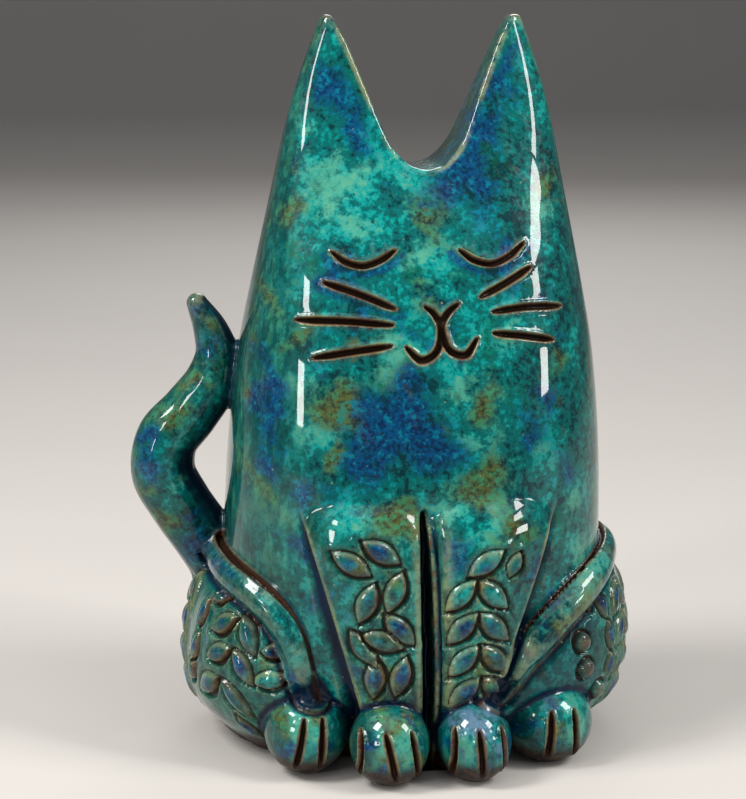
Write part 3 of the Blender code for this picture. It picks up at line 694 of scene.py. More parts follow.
# The left leg's leaves: place as shares of half width and height, and degrees above +X.
LEFT_LEG_LEAVES = (
    (-0.438, 0.303, -31), (-0.290, 0.319, -32), (-0.360, 0.251, -110), (-0.218, 0.266, -110),
    (-0.280, 0.199, -20), (-0.378, 0.190, -54), (-0.196, 0.215, -48), (-0.187, 0.150, -104),
    (-0.318, 0.148, -92),
)
# Leaves on the front of the thighs: degrees round from the front, share of the height, angle, growth.
THIGH_LEAVES = {
    LEFT: (
        (52.7, 0.192, -121, 1.02), (53.7, 0.148, -125, 1.0), (58.2, 0.098, -126, 1.15),
        (66.4, 0.235, -28, 0.8), (62.4, 0.200, -26, 1.0), (63.1, 0.160, -20, 1.0),
        (69.4, 0.110, -27, 1.2), (51.5, 0.223, -133, 0.66), (43.3, 0.212, 153, 0.62),
        (44.2, 0.175, 174, 0.72), (45.5, 0.135, 170, 0.95), (74.5, 0.203, -62, 0.85),
        (76.5, 0.155, -58, 0.9), (81.0, 0.118, -45, 1.05), (60.0, 0.052, -100, 0.7),
    ),
    RIGHT: (
        (54.5, 0.213, -76, 0.74), (57.0, 0.168, -80, 0.78), (58.0, 0.124, -84, 0.78),
        (48.5, 0.222, -65, 0.55),
    ),
}
# Stems of the leaf sprays further round the thighs: degrees from the front, share of the height, rows.
STEMS = {
    LEFT: ((94, 0.240, 4), (112, 0.225, 4), (132, 0.185, 3)),
    RIGHT: ((67, 0.235, 4), (86, 0.240, 4), (105, 0.222, 4), (126, 0.195, 3)),
}
# The right thigh's berries: degrees from the front, share of the height.
BERRIES = ((44.5, 0.170), (46.5, 0.131), (55.5, 0.090))
# Round swellings at the top of the front legs: millimetres across and up, reach and height.
SHOULDERS = ((-20.5, 71.0, 8.5, 1.5), (15.5, 69.5, 8.0, 1.4))

# Where the glaze pooled or broke: millimetres across and up, and reach.
COBALT_POOLS = (
    (-23.8, 194, 4.3), (-21.6, 185, 4.9), (-17.5, 177, 3.7), (25.6, 198, 3.7), (22.1, 189, 5.1),
    (16.8, 179, 4.9), (14.3, 165, 8.0), (4.7, 163, 4.0), (-23.6, 144, 3.4), (-26.6, 138, 3.7),
    (-18.9, 131, 3.4), (20.8, 142, 4.9), (3.8, 124, 2.6), (-3.9, 125, 2.0), (30.0, 133, 3.7),
    (-18.9, 95.5, 7.4), (-9.0, 103, 7.4), (0.1, 93, 6.9), (-8.0, 112, 3.7), (-45.1, 99, 4.6),
    (-45.7, 107, 3.4), (-33.4, 82, 4.0), (31.6, 109, 3.1), (27.5, 97, 4.9), (36.7, 85, 3.7),
    (6.1, 65, 4.6), (-26.0, 40, 2.9), (-22.7, 31, 2.6), (24.6, 38, 2.3), (32.9, 49, 2.3),
    (-62.0, 128, 4.2), (-58.0, 115, 3.6), (-75.2, 81, 3.4), (-61.0, 57, 5.0), (-77.1, 90, 3.2),
    (-66.0, 66, 2.2), (-42.0, 12, 2.6), (-38.0, 27, 4.5), (-31.0, 9, 2.0), (26.0, 13, 3.2),
    (32.0, 20, 3.0), (11.0, 6, 3.6), (-15.0, 7, 2.6), (2.5, 13, 3.0), (20.0, 12, 2.6), (-21.0, 15, 2.4),
    (-43.5, 88, 3.0), (-42.0, 103, 3.0), (-46.0, 118, 3.6), (30.0, 62, 3.4), (-30.0, 52, 4.0),
    (-34.0, 66, 3.0), (36.0, 8, 2.4), (-9.0, 19, 2.0),
)
OLIVE_PATCHES = (
    (1.1, 160, 5.1), (1.5, 150, 4.6), (-33.5, 169, 2.9), (-37.5, 156, 3.1), (-25.6, 107, 4.9),
    (-22.5, 100, 3.7), (13.8, 106, 4.3), (16.9, 88, 5.1), (-14.0, 76, 3.4), (10.0, 80, 3.7),
    (-48.9, 84, 4.0), (36.3, 164, 3.4), (-36.6, 123, 2.6), (36.6, 116, 2.6), (-43.3, 133, 2.9),
    (-28.6, 89, 3.4), (-1.6, 134, 3.4), (-70.4, 95, 4.6), (-57.2, 122, 3.0), (-72.3, 66, 3.8),
    (-78.0, 75, 3.0), (-62.0, 105, 2.4), (-31.0, 19, 2.6), (-8.0, 20, 2.6), (36.0, 12, 2.2),
    (22.0, 71, 4.0), (-6.0, 74, 4.5), (36.0, 40, 3.0), (41.0, 47, 3.0), (-47.0, 33, 2.6),
    (-42.0, 18, 3.0), (-14.5, 20, 3.0), (-5.0, 9, 2.4), (30.0, 31, 3.0), (-47.5, 108, 3.0),
    (-48.5, 122, 3.2), (-10.0, 60, 3.0), (-24.0, 60, 3.0), (12.0, 57, 3.0), (-14.0, 33, 3.2),
    (14.0, 33, 3.0), (-20.0, 45, 2.6),
)
PALE_CLOUDS = (
    (-20.6, 167, 5.1), (-27.1, 159, 4.6), (-33.1, 182, 2.6), (33.0, 155, 3.7), (-31.5, 99, 4.3),
    (9.6, 95, 3.7), (-11.3, 118, 4.9), (5.8, 111, 3.7), (-47.3, 76, 2.9), (-2.2, 145, 2.9),
    (31.3, 91, 3.1), (22.4, 125, 2.9), (-19.5, 153, 3.1), (-14.0, 17, 4.0), (-9.0, 11, 2.5),
    (41.0, 15, 4.0), (-38.0, 20, 3.5), (6.0, 12, 2.5), (-18.0, 75, 4.6), (16.0, 74, 4.6),
    (2.0, 78, 4.0), (-65.0, 107, 4.0), (-80.0, 86, 3.4), (-68.0, 76, 2.6), (7.0, 12, 3.0),
    (16.0, 8, 2.4), (-33.0, 15, 3.4), (-17.0, 12, 3.0), (-42.0, 74, 4.0), (-38.0, 112, 4.0),
    (-45.0, 62, 3.4), (44.0, 60, 4.0), (42.0, 76, 3.6),
)
MILKY_PAW = ((11.0, 20.5, 4.4), (13.0, 15.0, 2.2))


class Skin:
    """The cat's skin as arrays: places, normals and edges, and what has been pressed into it so far."""

    # The navy stain is painted shade, partly glaze run together; rust and cream also carry painted shade and
    # painted highlight on the leaves' rims.
    stains = ("cobalt", "olive", "pale", "milk", "navy", "rust", "cream", "sage")

    def __init__(self, obj):
        mesh = obj.data
        count = len(mesh.vertices)
        self.mesh = mesh
        self.p = self.read(mesh.vertices, "co", 3).astype(float)
        self.n = self.read(mesh.vertices, "normal", 3).astype(float)
        edges = np.empty(len(mesh.edges) * 2, np.int32)
        mesh.edges.foreach_get("vertices", edges)
        self.edges = edges.reshape(-1, 2)
        self.ends = np.bincount(self.edges.ravel(), minlength=count)
        self.lift = np.zeros(count)
        self.inside_mark = np.full(count, -4.0)
        self.inside_leaf = np.full(count, -4.0)
        self.leaf_line = np.full(count, 4.0)
        self.stain = {name: np.zeros(count) for name in self.stains}
        self.dice = np.random.default_rng(11)

    @staticmethod
    def read(items, name, width):
        """One property of all items, a row for each."""
        values = np.empty(len(items) * width, np.float32)
        items.foreach_get(name, values)
        return values.reshape(-1, width)

    def averaged(self, values, rounds):
        """Values passed on to the neighbours a number of times."""
        a, b = self.edges.T
        count = len(self.ends)
        values = values.copy()
        for _ in range(rounds):
            for k in range(values.shape[1]):
                column = values[:, k]
                near = np.bincount(a, column[b], count) + np.bincount(b, column[a], count)
                values[:, k] = 0.5 * column + 0.5 * near / self.ends
        return values

    def settle(self):
        """Moves the skin by what has been pressed so far, and starts afresh from there."""
        self.p += self.n * self.lift[:, None]
        self.lift[:] = 0
        self.mesh.vertices.foreach_set("co", self.p.astype(np.float32).ravel())
        self.mesh.update()
        self.n = self.read(self.mesh.vertices, "normal", 3).astype(float)

    def soften(self, share, rounds):
        """Sponges the skin where the share says so."""
        share = self.averaged(share[:, None], 4)
        self.p += share * (self.averaged(self.p, rounds) - self.p)
        self.settle()

    def hollows(self, rounds):
        """How far each place lies below its surroundings, in millimetres."""
        return ((self.averaged(self.p, rounds) - self.p) * self.n).sum(axis=1) * 1000

    def dye(self, name, zone, amount):
        """Stains part of the skin, and also paints shade and light on it, where that is more than it has
        already.
        """
        self.stain[name][zone] = np.maximum(self.stain[name][zone], amount)

    def store(self, name, values):
        """Keeps one number for each vertex under a name."""
        kept = self.mesh.attributes.new(name, "FLOAT", "POINT")
        kept.data.foreach_set("value", np.asarray(values, np.float32))


def path_distance(p, path):
    """How far each point lies from a line, the share along it, and its nearest place on it."""
    best = np.full(len(p), 1e9)
    along = np.zeros(len(p))
    nearest = np.zeros(p.shape)
    last = len(path) - 1
    for i in range(last):
        step = path[i + 1] - path[i]
        t = np.clip((p - path[i]) @ step / (step @ step), 0, 1)
        foot = path[i] + t[:, None] * step
        d = np.linalg.norm(p - foot, axis=1)
        closer = d < best
        best = np.where(closer, d, best)
        along = np.where(closer, (i + t) / last, along)
        nearest[closer] = foot[closer]
    return best, along, nearest


def press_furrow(skin, zone, distance, along, width, depth, fade, above=None):
    """Presses one stroke of a wooden tool: round-bottomed, with a burr pushed up along both sides."""
    ends = np.clip(np.minimum(along, 1 - along) * 5.5, 0, 1) ** 0.6
    half = width / 2 * (0.50 + 0.50 * ends)
    bottom = np.clip(1 - (distance / half) ** 2, 0, 1) ** 0.75
    lip = np.exp(-(((distance - 1.40 * half) / (0.52 * half)) ** 2))
    made = (-depth * (0.40 + 0.60 * ends) * bottom + marks().burr * lip) * fade
    kept = skin.lift[zone]
    deeper = (made < 0) & (made < kept) | (kept >= 0) & (made > kept)
    skin.lift[zone] = np.where(deeper, made, kept)
    inside = np.where(fade > 0.4, (half - distance) * 1000, -4.0)
    skin.inside_mark[zone] = np.maximum(skin.inside_mark[zone], inside)
    if above is not None:
        rim = np.exp(-(((distance - 1.15 * half) / (0.19 * half)) ** 2)) * fade
        skin.dye("cream", zone, rim * np.clip(0.35 + 0.6 * above, 0, 1))
        skin.dye("rust", zone, rim * np.clip(0.35 - 0.6 * above, 0, 1))


def leaf_field(u, v, size, width):
    """Distance inside a pressed leaf's outline, in metres: a pointed oval along u."""
    reach = np.clip(1 - (2 * u / size) ** 2, 0, 1)
    edge = width / 2 * reach - np.abs(v)
    beyond = np.maximum(np.abs(u) - size / 2, 0)
    return np.where(beyond > 0, -np.hypot(beyond, v), edge)


def press_leaf(skin, zone, x, z, middle, angle, grow=1.0, mirrored=1):
    """Presses one leaf: a full crown, cut deepest along its lower right, its line painted wider and its rim
    browner there as painted shade, its upper left rim paler as a painted highlight; its angle runs from +X
    to +Z.
    """
    m = marks()
    size = m.leaf_length * grow
    width = m.leaf_width * (0.35 + 0.65 * grow)
    dx, dz = x - middle[0], z - middle[1]
    near = np.flatnonzero(np.hypot(dx, dz) < 0.8 * size)
    cos, sin = math.cos(angle), math.sin(angle)
    u = dx[near] * cos + dz[near] * sin
    v = -dx[near] * sin + dz[near] * cos
    edge = leaf_field(u, v, size, width)
    side = np.where(v > 0, 1.0, -1.0)
    # How far each edge faces down and to the right, away from the light: painted shade grows with it and
    # painted highlight shrinks.
    shade = side * (-sin * 0.5 * mirrored - cos * 0.87)
    crown = m.leaf_height * np.clip(edge / (0.45 * width), 0, 1) ** 0.62
    line = np.abs(edge + 0.04 * width) / (0.80 + 0.35 * shade)
    groove = m.leaf_groove * (0.75 + 0.35 * shade) * np.clip(1 - (line / (0.15 * width)) ** 2, 0, 1) ** 0.8
    lip = 0.6 * m.burr * np.exp(-(((edge + 0.30 * width) / (0.13 * width)) ** 2))
    made = crown - groove + lip
    spots = zone[near]
    kept = skin.lift[spots]
    inner = skin.inside_leaf[spots] > 0.15
    made = np.where(inner & (edge < 0), kept, made)
    skin.lift[spots] = np.where(np.abs(made) > np.abs(kept), made, kept)
    skin.inside_leaf[spots] = np.maximum(skin.inside_leaf[spots], edge * 1000)
    skin.leaf_line[spots] = np.where(inner & (edge < 0), skin.leaf_line[spots],
                                     np.minimum(skin.leaf_line[spots], line * 1000))
    full = np.clip(edge / (0.25 * width), 0, 1)
    rim = np.exp(-(((edge - 0.11 * width) / (0.09 * width)) ** 2))
    # Painted highlight in cream on the upper left rim and painted shade in brown on the lower right rim,
    # partly the glaze breaking on the rim.
    skin.dye("cream", spots, rim * np.clip(0.10 - 0.65 * shade, 0, 1))
    skin.dye("rust", spots, rim * np.clip(0.55 + 0.45 * shade, 0, 1))
    skin.dye("rust", spots, full * 0.42 * np.clip(u / size + 0.02, 0, 0.5) * 2)
    blue = skin.dice.choice((0.2, 0.7, 1.3))
    skin.dye("cobalt", spots, blue * full * np.clip(1.15 - np.abs(u / size + 0.08) * 3.2, 0, 1))
    skin.dye("sage", spots, 0.8 * np.clip(1 + edge / (0.55 * width), 0, 1) * (edge < 0))


def press_spray(skin, zone, x, z, top, rows, drift=0.0, slant=38.0):
    """A spray of leaves: pairs that hang from a stem, one row under another."""
    m = marks()
    for row in range(rows):
        stem = (top[0] + drift * row, top[1] - m.leaf_row * row)
        for side in (LEFT, RIGHT):
            angle = math.radians(-90 + side * slant)
            reach = 0.50 * m.leaf_length
            middle = (stem[0] + reach * math.cos(angle), stem[1] + reach * math.sin(angle))
            press_leaf(skin, zone, x, z, middle, angle)


def press_face(skin):
    """Closed eyes, whiskers, nose and mouth."""
    p, n, m, height = skin.p, skin.n, marks(), form().height
    zone = np.flatnonzero((n[:, 1] < -0.35) & (p[:, 2] > 0.5 * height) & (p[:, 2] < 0.75 * height))
    flat = p[zone][:, (0, 2)]
    fade = np.clip((-n[zone, 1] - 0.35) / 0.25, 0, 1)
    for number, stroke in enumerate(FACE_STROKES):
        path = smooth_path([at(a, 0, b) for a, b in stroke], 8 * len(stroke) - 3)[:, ::2]
        distance, along, nearest = path_distance(flat, path)
        above = np.clip((flat[:, 1] - nearest[:, 1]) / np.maximum(distance, 1e-5), -1, 1)
        width = m.stroke_width * (0.80 if number < 2 else 0.88 if number < 8 else 0.96)
        press_furrow(skin, zone, distance, along, width, m.stroke_depth, fade, above)
        below = np.exp(-(((distance - 1.15 * m.stroke_width) / (0.70 * m.stroke_width)) ** 2)) * (above < 0)
        skin.dye("cobalt", zone, STROKE_BLUE[number] * below * fade)


def press_claws(skin):
    """Three marks on each front paw and two on each hind paw."""
    m = marks()
    for pair, side in PAWS:
        middle, radii = paw_shape(pair, side)
        out = skin.p - middle
        near = np.linalg.norm(out / (radii * 1.12), axis=1) < 1
        zone = np.flatnonzero(near & (out[:, 1] < 0) & (skin.n[:, 1] < -0.1))
        for top, foot in CLAWS[pair, side]:
            path = []
            for share in np.linspace(0, 1, 9):
                x = top + (foot - top) * share
                z = 0.50 - 1.14 * share
                path.append(np.array((x, -math.sqrt(max(0.02, 1 - x * x - z * z)), z)) * radii)
            distance, along = path_distance(out[zone], np.array(path))[:2]
            above = np.clip(0.6 - 4 * along, -0.5, 0.3)
            press_furrow(skin, zone, distance, along, m.claw_width, m.claw_depth, np.ones(len(zone)), above)


def press_shoulders(skin):
    """Fuller tops for the front legs."""
    p = skin.p * 1000
    for x, z, reach, rise in SHOULDERS:
        d = np.hypot(p[:, 0] - x, (p[:, 2] - z) * 1.15)
        front = np.clip(-skin.n[:, 1] * 2, 0, 1) * (p[:, 1] < -20)
        skin.lift += rise / 1000 * np.exp(-((d / reach) ** 2)) * front


def off_paws(p, grow):
    """True for points that lie clear of all four paws."""
    clear = np.ones(len(p), bool)
    for pair, side in PAWS:
        middle, radii = paw_shape(pair, side)
        clear &= np.linalg.norm((p - middle) / (radii * grow), axis=1) > 1
    return clear


def press_leg_edges(skin):
    """The steps from the front legs down to the body, navy where the skin drops: painted shade, partly glaze
    run together.
    """
    f, p, n = form(), skin.p, skin.n
    chosen = (n[:, 1] < -0.25) & (p[:, 1] < -0.30 * f.body_depth) & (p[:, 2] < 0.42 * f.height)
    zone = np.flatnonzero(chosen & off_paws(p, 1.06))
    x, z = p[zone, 0], p[zone, 2]
    for side in (LEFT, RIGHT):
        heights = np.linspace(0.0, 1.08 * f.leg_height, 40)
        shares = np.clip((heights / f.leg_height - 0.25) / 0.65, -0.4, 1.25)
        low, high = LEG_OUTER[side]
        line = (low + (high - low) * shares) * f.body_width / 2
        out = side * (x - np.interp(z, heights, line)) * 1000
        below = 0.965 * f.leg_height - z
        fade = np.clip(below / 0.012, 0, 1) ** 0.7
        reach = (4.4 if side == LEFT else 5.0) * np.clip(0.22 + below / 0.040, 0.22, 1)
        fall = np.clip(out / 0.5, 0, 1) * np.clip(1 - out / reach, 0, 1)
        edge = 0.0004 * np.exp(-(((out + 0.7) / 0.6) ** 2))
        skin.lift[zone] += (-marks().step_depth * fall**1.3 + edge) * fade
        # Painted shade on the drop beside the leg, partly glaze run together.
        skin.dye("navy", zone, np.clip(fall * 1.5, 0, 1) * fade)
        skin.dye("cream", zone, np.exp(-(((out + 0.45) / 0.55) ** 2)) * fade * 0.6)
    out = (x - np.array([slot_middle(h) for h in z]) - f.slot_width / 2) * 1000
    fade = np.clip((0.380 * f.height - z) / 0.012, 0, 1)
    fall = np.clip(1 - np.maximum(out, 0) / 3.2, 0, 1) ** 1.2 * (out > -2.4)
    skin.lift[zone] -= marks().slot_rounding * fall * fade
    # Navy on the slot's right wall is painted shade in the slot; olive and cream mark the glaze thinning on
    # its rim.
    skin.dye("navy", zone, np.clip(1.1 - np.maximum(out, 0) / 1.0, 0, 1) * (out > -2.6) * fade)
    skin.dye("olive", zone, np.exp(-(((out - 2.6) / 1.0) ** 2)) * fade * 0.8)
    skin.dye("cream", zone, np.exp(-(((out - 3.9) / 0.7) ** 2)) * fade * 0.6)
    skin.dye("cream", zone, np.exp(-(((out + f.slot_width * 1000 + 0.6) / 0.6) ** 2)) * fade * 0.7)


def darken_joins(skin):
    """Painted shade in the crevices round the paws and at the lower ends of the rolls, partly glaze run
    together there, and painted shade on the side of the tail that faces the body.
    """
    f, p = form(), skin.p
    for pair, side in PAWS:
        middle, radii = paw_shape(pair, side)
        reach = np.linalg.norm((p - middle) / radii, axis=1)
        ring = np.clip((reach - 1.010) / 0.020, 0, 1) * np.clip(1.9 - (reach - 1.0) / 0.11, 0, 1)
        # Painted shade in the crevice round each paw.
        skin.dye("navy", slice(None), ring)
    for side in (LEFT, RIGHT):
        apart = np.linalg.norm(p - roll_path(side)[1], axis=1)
        end = np.clip(2.1 - apart / 0.0034, 0, 1)
        # Painted shade where the roll's lower end is pressed in.
        skin.dye("navy", slice(None), end)
        skin.lift -= marks().roll_end * end
    tail = (p[:, 0] < -0.47 * f.body_width - lean(0)) & (p[:, 2] > 0.16 * f.height)
    facing = np.clip((skin.n[:, 0] - 0.20) / 0.55, 0, 1) * np.clip((p[:, 2] / f.height - 0.16) / 0.05, 0, 1)
    # Painted shade on the tail's side that faces the body.
    skin.dye("navy", slice(None), 0.9 * tail * facing)


def press_legs(skin):
    """Leaves down the front of both legs."""
    f, m, p, n = form(), marks(), skin.p, skin.n
    front = -f.body_depth / 2 * 0.86
    rows = (p[:, 2] > 0.105 * f.height) & (p[:, 2] < 0.35 * f.height)
    inside = np.zeros(len(p), bool)
    for side in (LEFT, RIGHT):
        low, high = LEG_OUTER[side]
        edge = low + (high - low) * (p[:, 2] / f.leg_height - 0.25) / 0.65
        inside |= (side * p[:, 0] > -0.004) & (side * p[:, 0] < side * edge * f.body_width / 2 - 0.0006)
    zone = np.flatnonzero((n[:, 1] < -0.45) & (p[:, 1] < front) & rows & inside & off_paws(p, 1.05))
    x, z = p[zone, 0], p[zone, 2]
    half = f.body_width / 2
    press_spray(skin, zone, x, z, (0.198 * half, 0.279 * f.height), 4, 0.04 * m.leaf_length, 45)
    press_leaf(skin, zone, x, z, (0.245 * half, 0.300 * f.height), math.radians(34))
    press_leaf(skin, zone, x, z, (0.395 * half, 0.296 * f.height), math.radians(64), 0.62)
    for across, up, angle in LEFT_LEG_LEAVES:
        press_leaf(skin, zone, x, z, (across * half, up * f.height), math.radians(angle))


def off_roll(p, side):
    """True for points of the thigh below its rolled edge."""
    f = form()
    turn = np.arctan2(side * p[:, 0] / f.body_width, -p[:, 1] / f.body_depth)
    keep = (turn > 0) & (p[:, 2] < roll_height(side, turn) * f.height)
    near = np.flatnonzero(keep)
    for q in roll_path(side):
        hit = np.linalg.norm(p[near] - q, axis=1) < 0.56 * f.roll_width
        keep[near[hit]] = False
        near = near[~hit]
    return keep


def press_thighs(skin):
    """Leaves all round each thigh, and three berries in front on the right one."""
    f, m, p = form(), marks(), skin.p
    wrap = 0.5 * (f.body_width + f.haunch_bulge * 1.4)
    for side in (LEFT, RIGHT):
        turn = np.arctan2(side * p[:, 0] / f.body_width, -p[:, 1] / f.body_depth)
        up = p[:, 2] / f.height
        keep = (turn > 0.45) & (turn < 2.75) & (up > 0.0) & (up < 0.27)
        keep &= off_roll(p, side) & off_paws(p, 1.10)
        keep &= np.hypot(p[:, 0] / f.body_width, p[:, 1] / f.body_depth) < 0.70
        zone = np.flatnonzero(keep)
        around, z = turn[zone] * wrap, p[zone, 2]
        for degrees, height, angle, grow in THIGH_LEAVES[side]:
            middle = (math.radians(degrees) * wrap, height * f.height)
            press_leaf(skin, zone, around, z, middle, math.radians(angle), grow, side)
        for degrees, top, rows in STEMS[side]:
            stem = (math.radians(degrees) * wrap, top * f.height)
            press_spray(skin, zone, around, z, stem, rows, 0.11 * m.leaf_length, 40)
        if side == RIGHT:
            for degrees, height in BERRIES:
                d = np.hypot(around - math.radians(degrees) * wrap, z - height * f.height)
                near = d < 0.85 * m.berry_width
                line = np.abs(d[near] - 0.56 * m.berry_width)
                bump = 1.6 * m.leaf_height * np.clip(1 - (2 * d[near] / m.berry_width) ** 2, 0, 1) ** 0.5
                rim = m.leaf_groove * np.clip(1 - line / (0.16 * m.berry_width), 0, 1)
                spots = zone[near]
                skin.lift[spots] = bump - rim
                skin.inside_leaf[spots] = (m.berry_width / 2 - d[near]) * 1000
                skin.leaf_line[spots] = line * 1000
                skin.dye("rust", spots, 0.65 * np.clip(1.2 - d[near] / (0.62 * m.berry_width), 0, 1))
            # Painted shade on the front of the right thigh, beside the right front leg.
            skin.dye("navy", zone, 0.45 * np.clip((math.radians(62) - turn[zone]) * 4, 0, 1))


def press_roll_grooves(skin):
    """The lines that part each thigh's rolled edge from the body and from the leaves."""
    f, m, p = form(), marks(), skin.p
    for side in (LEFT, RIGHT):
        broad = 1.12 if side == LEFT else 0.80
        path = skin_path(ROLL_GROOVE[side], side, 0.0010, 60)
        zone = np.flatnonzero((side * p[:, 0] > 0) & (p[:, 2] < 0.31 * f.height))
        best, along = path_distance(p[zone], path)[:2]
        near = best < 2.6 * m.stroke_width
        fade = np.ones(near.sum())
        width = broad * m.stroke_width
        press_furrow(skin, zone[near], best[near], along[near], width, 0.85 * m.stroke_depth, fade)
        skin.inside_mark[zone[near]] -= np.where(best[near] < width, 0.22 if side == LEFT else 0.05, 0)
        skin.dye("rust", zone, np.clip(1.9 - best / (0.60 * width), 0, 1) * (0.85 if side == LEFT else 0.35)
                 * np.clip(5 * along - 0.7, 0.1, 1))
        under = off_roll(p[zone], side)
        turn = np.arctan2(side * p[zone, 0] / f.body_width, -p[zone, 1] / f.body_depth)
        reach = path_distance(p[zone], roll_path(side)[::2])[0] / f.roll_width
        middle = 0.62 + (0.20 * np.clip((1.15 - turn) / 0.3, 0, 1) if side == RIGHT else 0)
        dip = np.exp(-(((reach - middle) / 0.13) ** 2)) * under
        skin.lift[zone] -= m.roll_dip * dip
        if side == RIGHT:
            full = np.exp(-(((reach - 0.45) / 0.20) ** 2)) * np.clip((1.15 - turn) / 0.3, 0, 1)
            skin.lift[zone] += m.roll_fill * full * (np.abs(skin.lift[zone]) < 0.0004)
        skin.dye("rust", zone, 0.6 * np.exp(-(((reach - middle + 0.10) / 0.10) ** 2)) * under)
        # Painted shade in the hollow below the roll.
        skin.dye("navy", zone, 0.8 * np.exp(-(((reach - middle - 0.05) / 0.12) ** 2)) * under)


def spots(p, places):
    """A soft mask of ragged spots that melt together, seen from the front."""
    x, z = p[:, 0] * 1000, p[:, 2] * 1000
    across = x + 1.7 * np.sin(z / 2.7 + 2.0 * np.sin(x / 7.3)) + 0.9 * np.sin(z / 1.2 + x / 2.3)
    up = z + 1.9 * np.sin(x / 3.3 + 2.0 * np.sin(z / 6.1)) + 0.9 * np.sin(x / 1.3 - z / 2.9)
    mask = np.zeros(len(p))
    for number, (middle, height, reach) in enumerate(places):
        turn = 2.4 * number
        dx, dz = across - middle, up - height
        along = dx * math.cos(turn) + dz * math.sin(turn)
        aside = dz * math.cos(turn) - dx * math.sin(turn)
        mask += np.exp(-(((0.74 * along) ** 2 + (1.20 * aside) ** 2) / (1.25 * reach) ** 2))
    return np.clip(mask, 0, 1)


def carve(obj):
    """Presses all marks into the skin, and keeps what the glaze needs to know about each place."""
    skin = Skin(obj)
    press_shoulders(skin)
    press_leg_edges(skin)
    skin.settle()
    skin.soften(np.clip(2.5 * skin.stain["navy"], 0, 1), 10)
    # How sunk each place is: hollows get darker glaze by it, partly glaze run together and partly painted
    # shade; raised edges, below zero, break to cream and brown.
    skin.store("pooling_and_shade", skin.hollows(30))
    # Which way the skin faces, to the left and right; the glaze paints shade on the flanks by it.
    skin.store("flank", skin.averaged(skin.n[:, :1], 12)[:, 0])
    darken_joins(skin)
    press_face(skin)
    press_claws(skin)
    press_legs(skin)
    press_thighs(skin)
    press_roll_grooves(skin)
    skin.settle()
    skin.store("crest", -skin.hollows(5))
    skin.store("inside_mark", skin.inside_mark)
    skin.store("inside_leaf", skin.inside_leaf)
    skin.store("leaf_line", skin.leaf_line)
    front = np.clip(0.6 - skin.n[:, 1] * 1.5, 0, 1)
    behind = 0.8 * np.clip(skin.n[:, 1] * 1.5, 0, 1)
    for name, places in (
        ("cobalt", COBALT_POOLS), ("olive", OLIVE_PATCHES), ("pale", PALE_CLOUDS), ("milk", MILKY_PAW),
    ):
        skin.dye(name, slice(None), spots(skin.p, places) * front)
        if name != "milk":
            skin.dye(name, slice(None), spots(skin.p * (-1, 1, 1), places) * behind)
    for name, amount in skin.stain.items():
        skin.store(name, amount)
    detail = np.clip(1.4 - np.maximum(-skin.inside_mark - 1.2, 0), 0, 1)
    detail = np.maximum(detail, 0.8 * np.clip(1.0 - np.maximum(skin.leaf_line - 1.5, 0), 0, 1))
    return detail


def thin(obj, detail):
    """Thins the skin where nothing has been pressed into it."""
    group = obj.vertex_groups.new(name="plain")
    for level in range(5):
        low, high = level / 4 - 0.125, level / 4 + 0.125
        chosen = np.flatnonzero((1 - detail >= low) & (1 - detail < high))
        group.add(chosen.tolist(), max(0.02, level / 4), "REPLACE")
    ratio = min(1.0, marks().triangles / (2 * len(obj.data.polygons)))
    apply(obj, "DECIMATE", ratio=ratio, vertex_group="plain", vertex_group_factor=0.000005)
    obj.vertex_groups.clear()


class CATMODEL_OT_body(bpy.types.Operator):
    """Model the body with its ears and the two front legs"""

    bl_idname = "cat.body"
    bl_label = "Body and front legs"
    bl_options = {"REGISTER", "UNDO"}

    def execute(self, context):
        forms = [make_body(), make_leg("leg_left", LEFT), make_leg("leg_right", RIGHT)]
        for obj in forms:
            cut(obj, make_slot())
        chest = merge("cat_chest", *forms)
        knead(chest, marks().chest_grain, CHEST_STROKES)
        return {"FINISHED"}


class CATMODEL_OT_thighs(bpy.types.Operator):
    """Model the two thighs with their rolled edges"""

    bl_idname = "cat.thighs"
    bl_label = "Thighs"
    bl_options = {"REGISTER", "UNDO"}

    def execute(self, context):
        for word, side in (("left", LEFT), ("right", RIGHT)):
            make_haunch(f"cat_haunch_{word}", side)
            make_roll(f"cat_roll_{word}", side)
        return {"FINISHED"}


class CATMODEL_OT_paws(bpy.types.Operator):
    """Model the four paws"""

    bl_idname = "cat.paws"
    bl_label = "Paws"
    bl_options = {"REGISTER", "UNDO"}

    def execute(self, context):
        for pair, side in PAWS:
            ball(f"cat_{pair}_paw", *paw_shape(pair, side))
        return {"FINISHED"}


class CATMODEL_OT_tail(bpy.types.Operator):
    """Model the tail, and the bit of clay that joins it to the body's side"""

    bl_idname = "cat.tail"
    bl_label = "Tail"
    bl_options = {"REGISTER", "UNDO"}

    def execute(self, context):
        width = form().tail_width
        path = smooth_path([(*at(*p[:3]), p[3]) for p in TAIL_POINTS], 90)
        coil("cat_tail", path[:, :3], path[:, 3] * width / 2)
        place, size = TAIL_JOIN
        ball("cat_tail_join", at(*place), np.array(size) * width)
        return {"FINISHED"}


class CATMODEL_OT_finish(bpy.types.Operator):
    """Join all forms into one skin, press the face, claws and leaves into it, and glaze it"""

    bl_idname = "cat.finish"
    bl_label = "Join, carve and glaze"
    bl_options = {"REGISTER", "UNDO"}

    def execute(self, context):
        forms = [o for o in context.scene.objects if o.name.startswith("cat_")]
        cat = merge("glazed_cat", *forms)
        knead(cat, marks().clay_grain, SKIN_STROKES)
        detail = carve(cat)
        thin(cat, detail)
        stand(cat)
        cat.data.materials.clear()
        cat.data.materials.append(glaze_material())
        only(cat)
        bpy.ops.object.shade_smooth()
        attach(cat, "root")
        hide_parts("clay_cat")
        return {"FINISHED"}


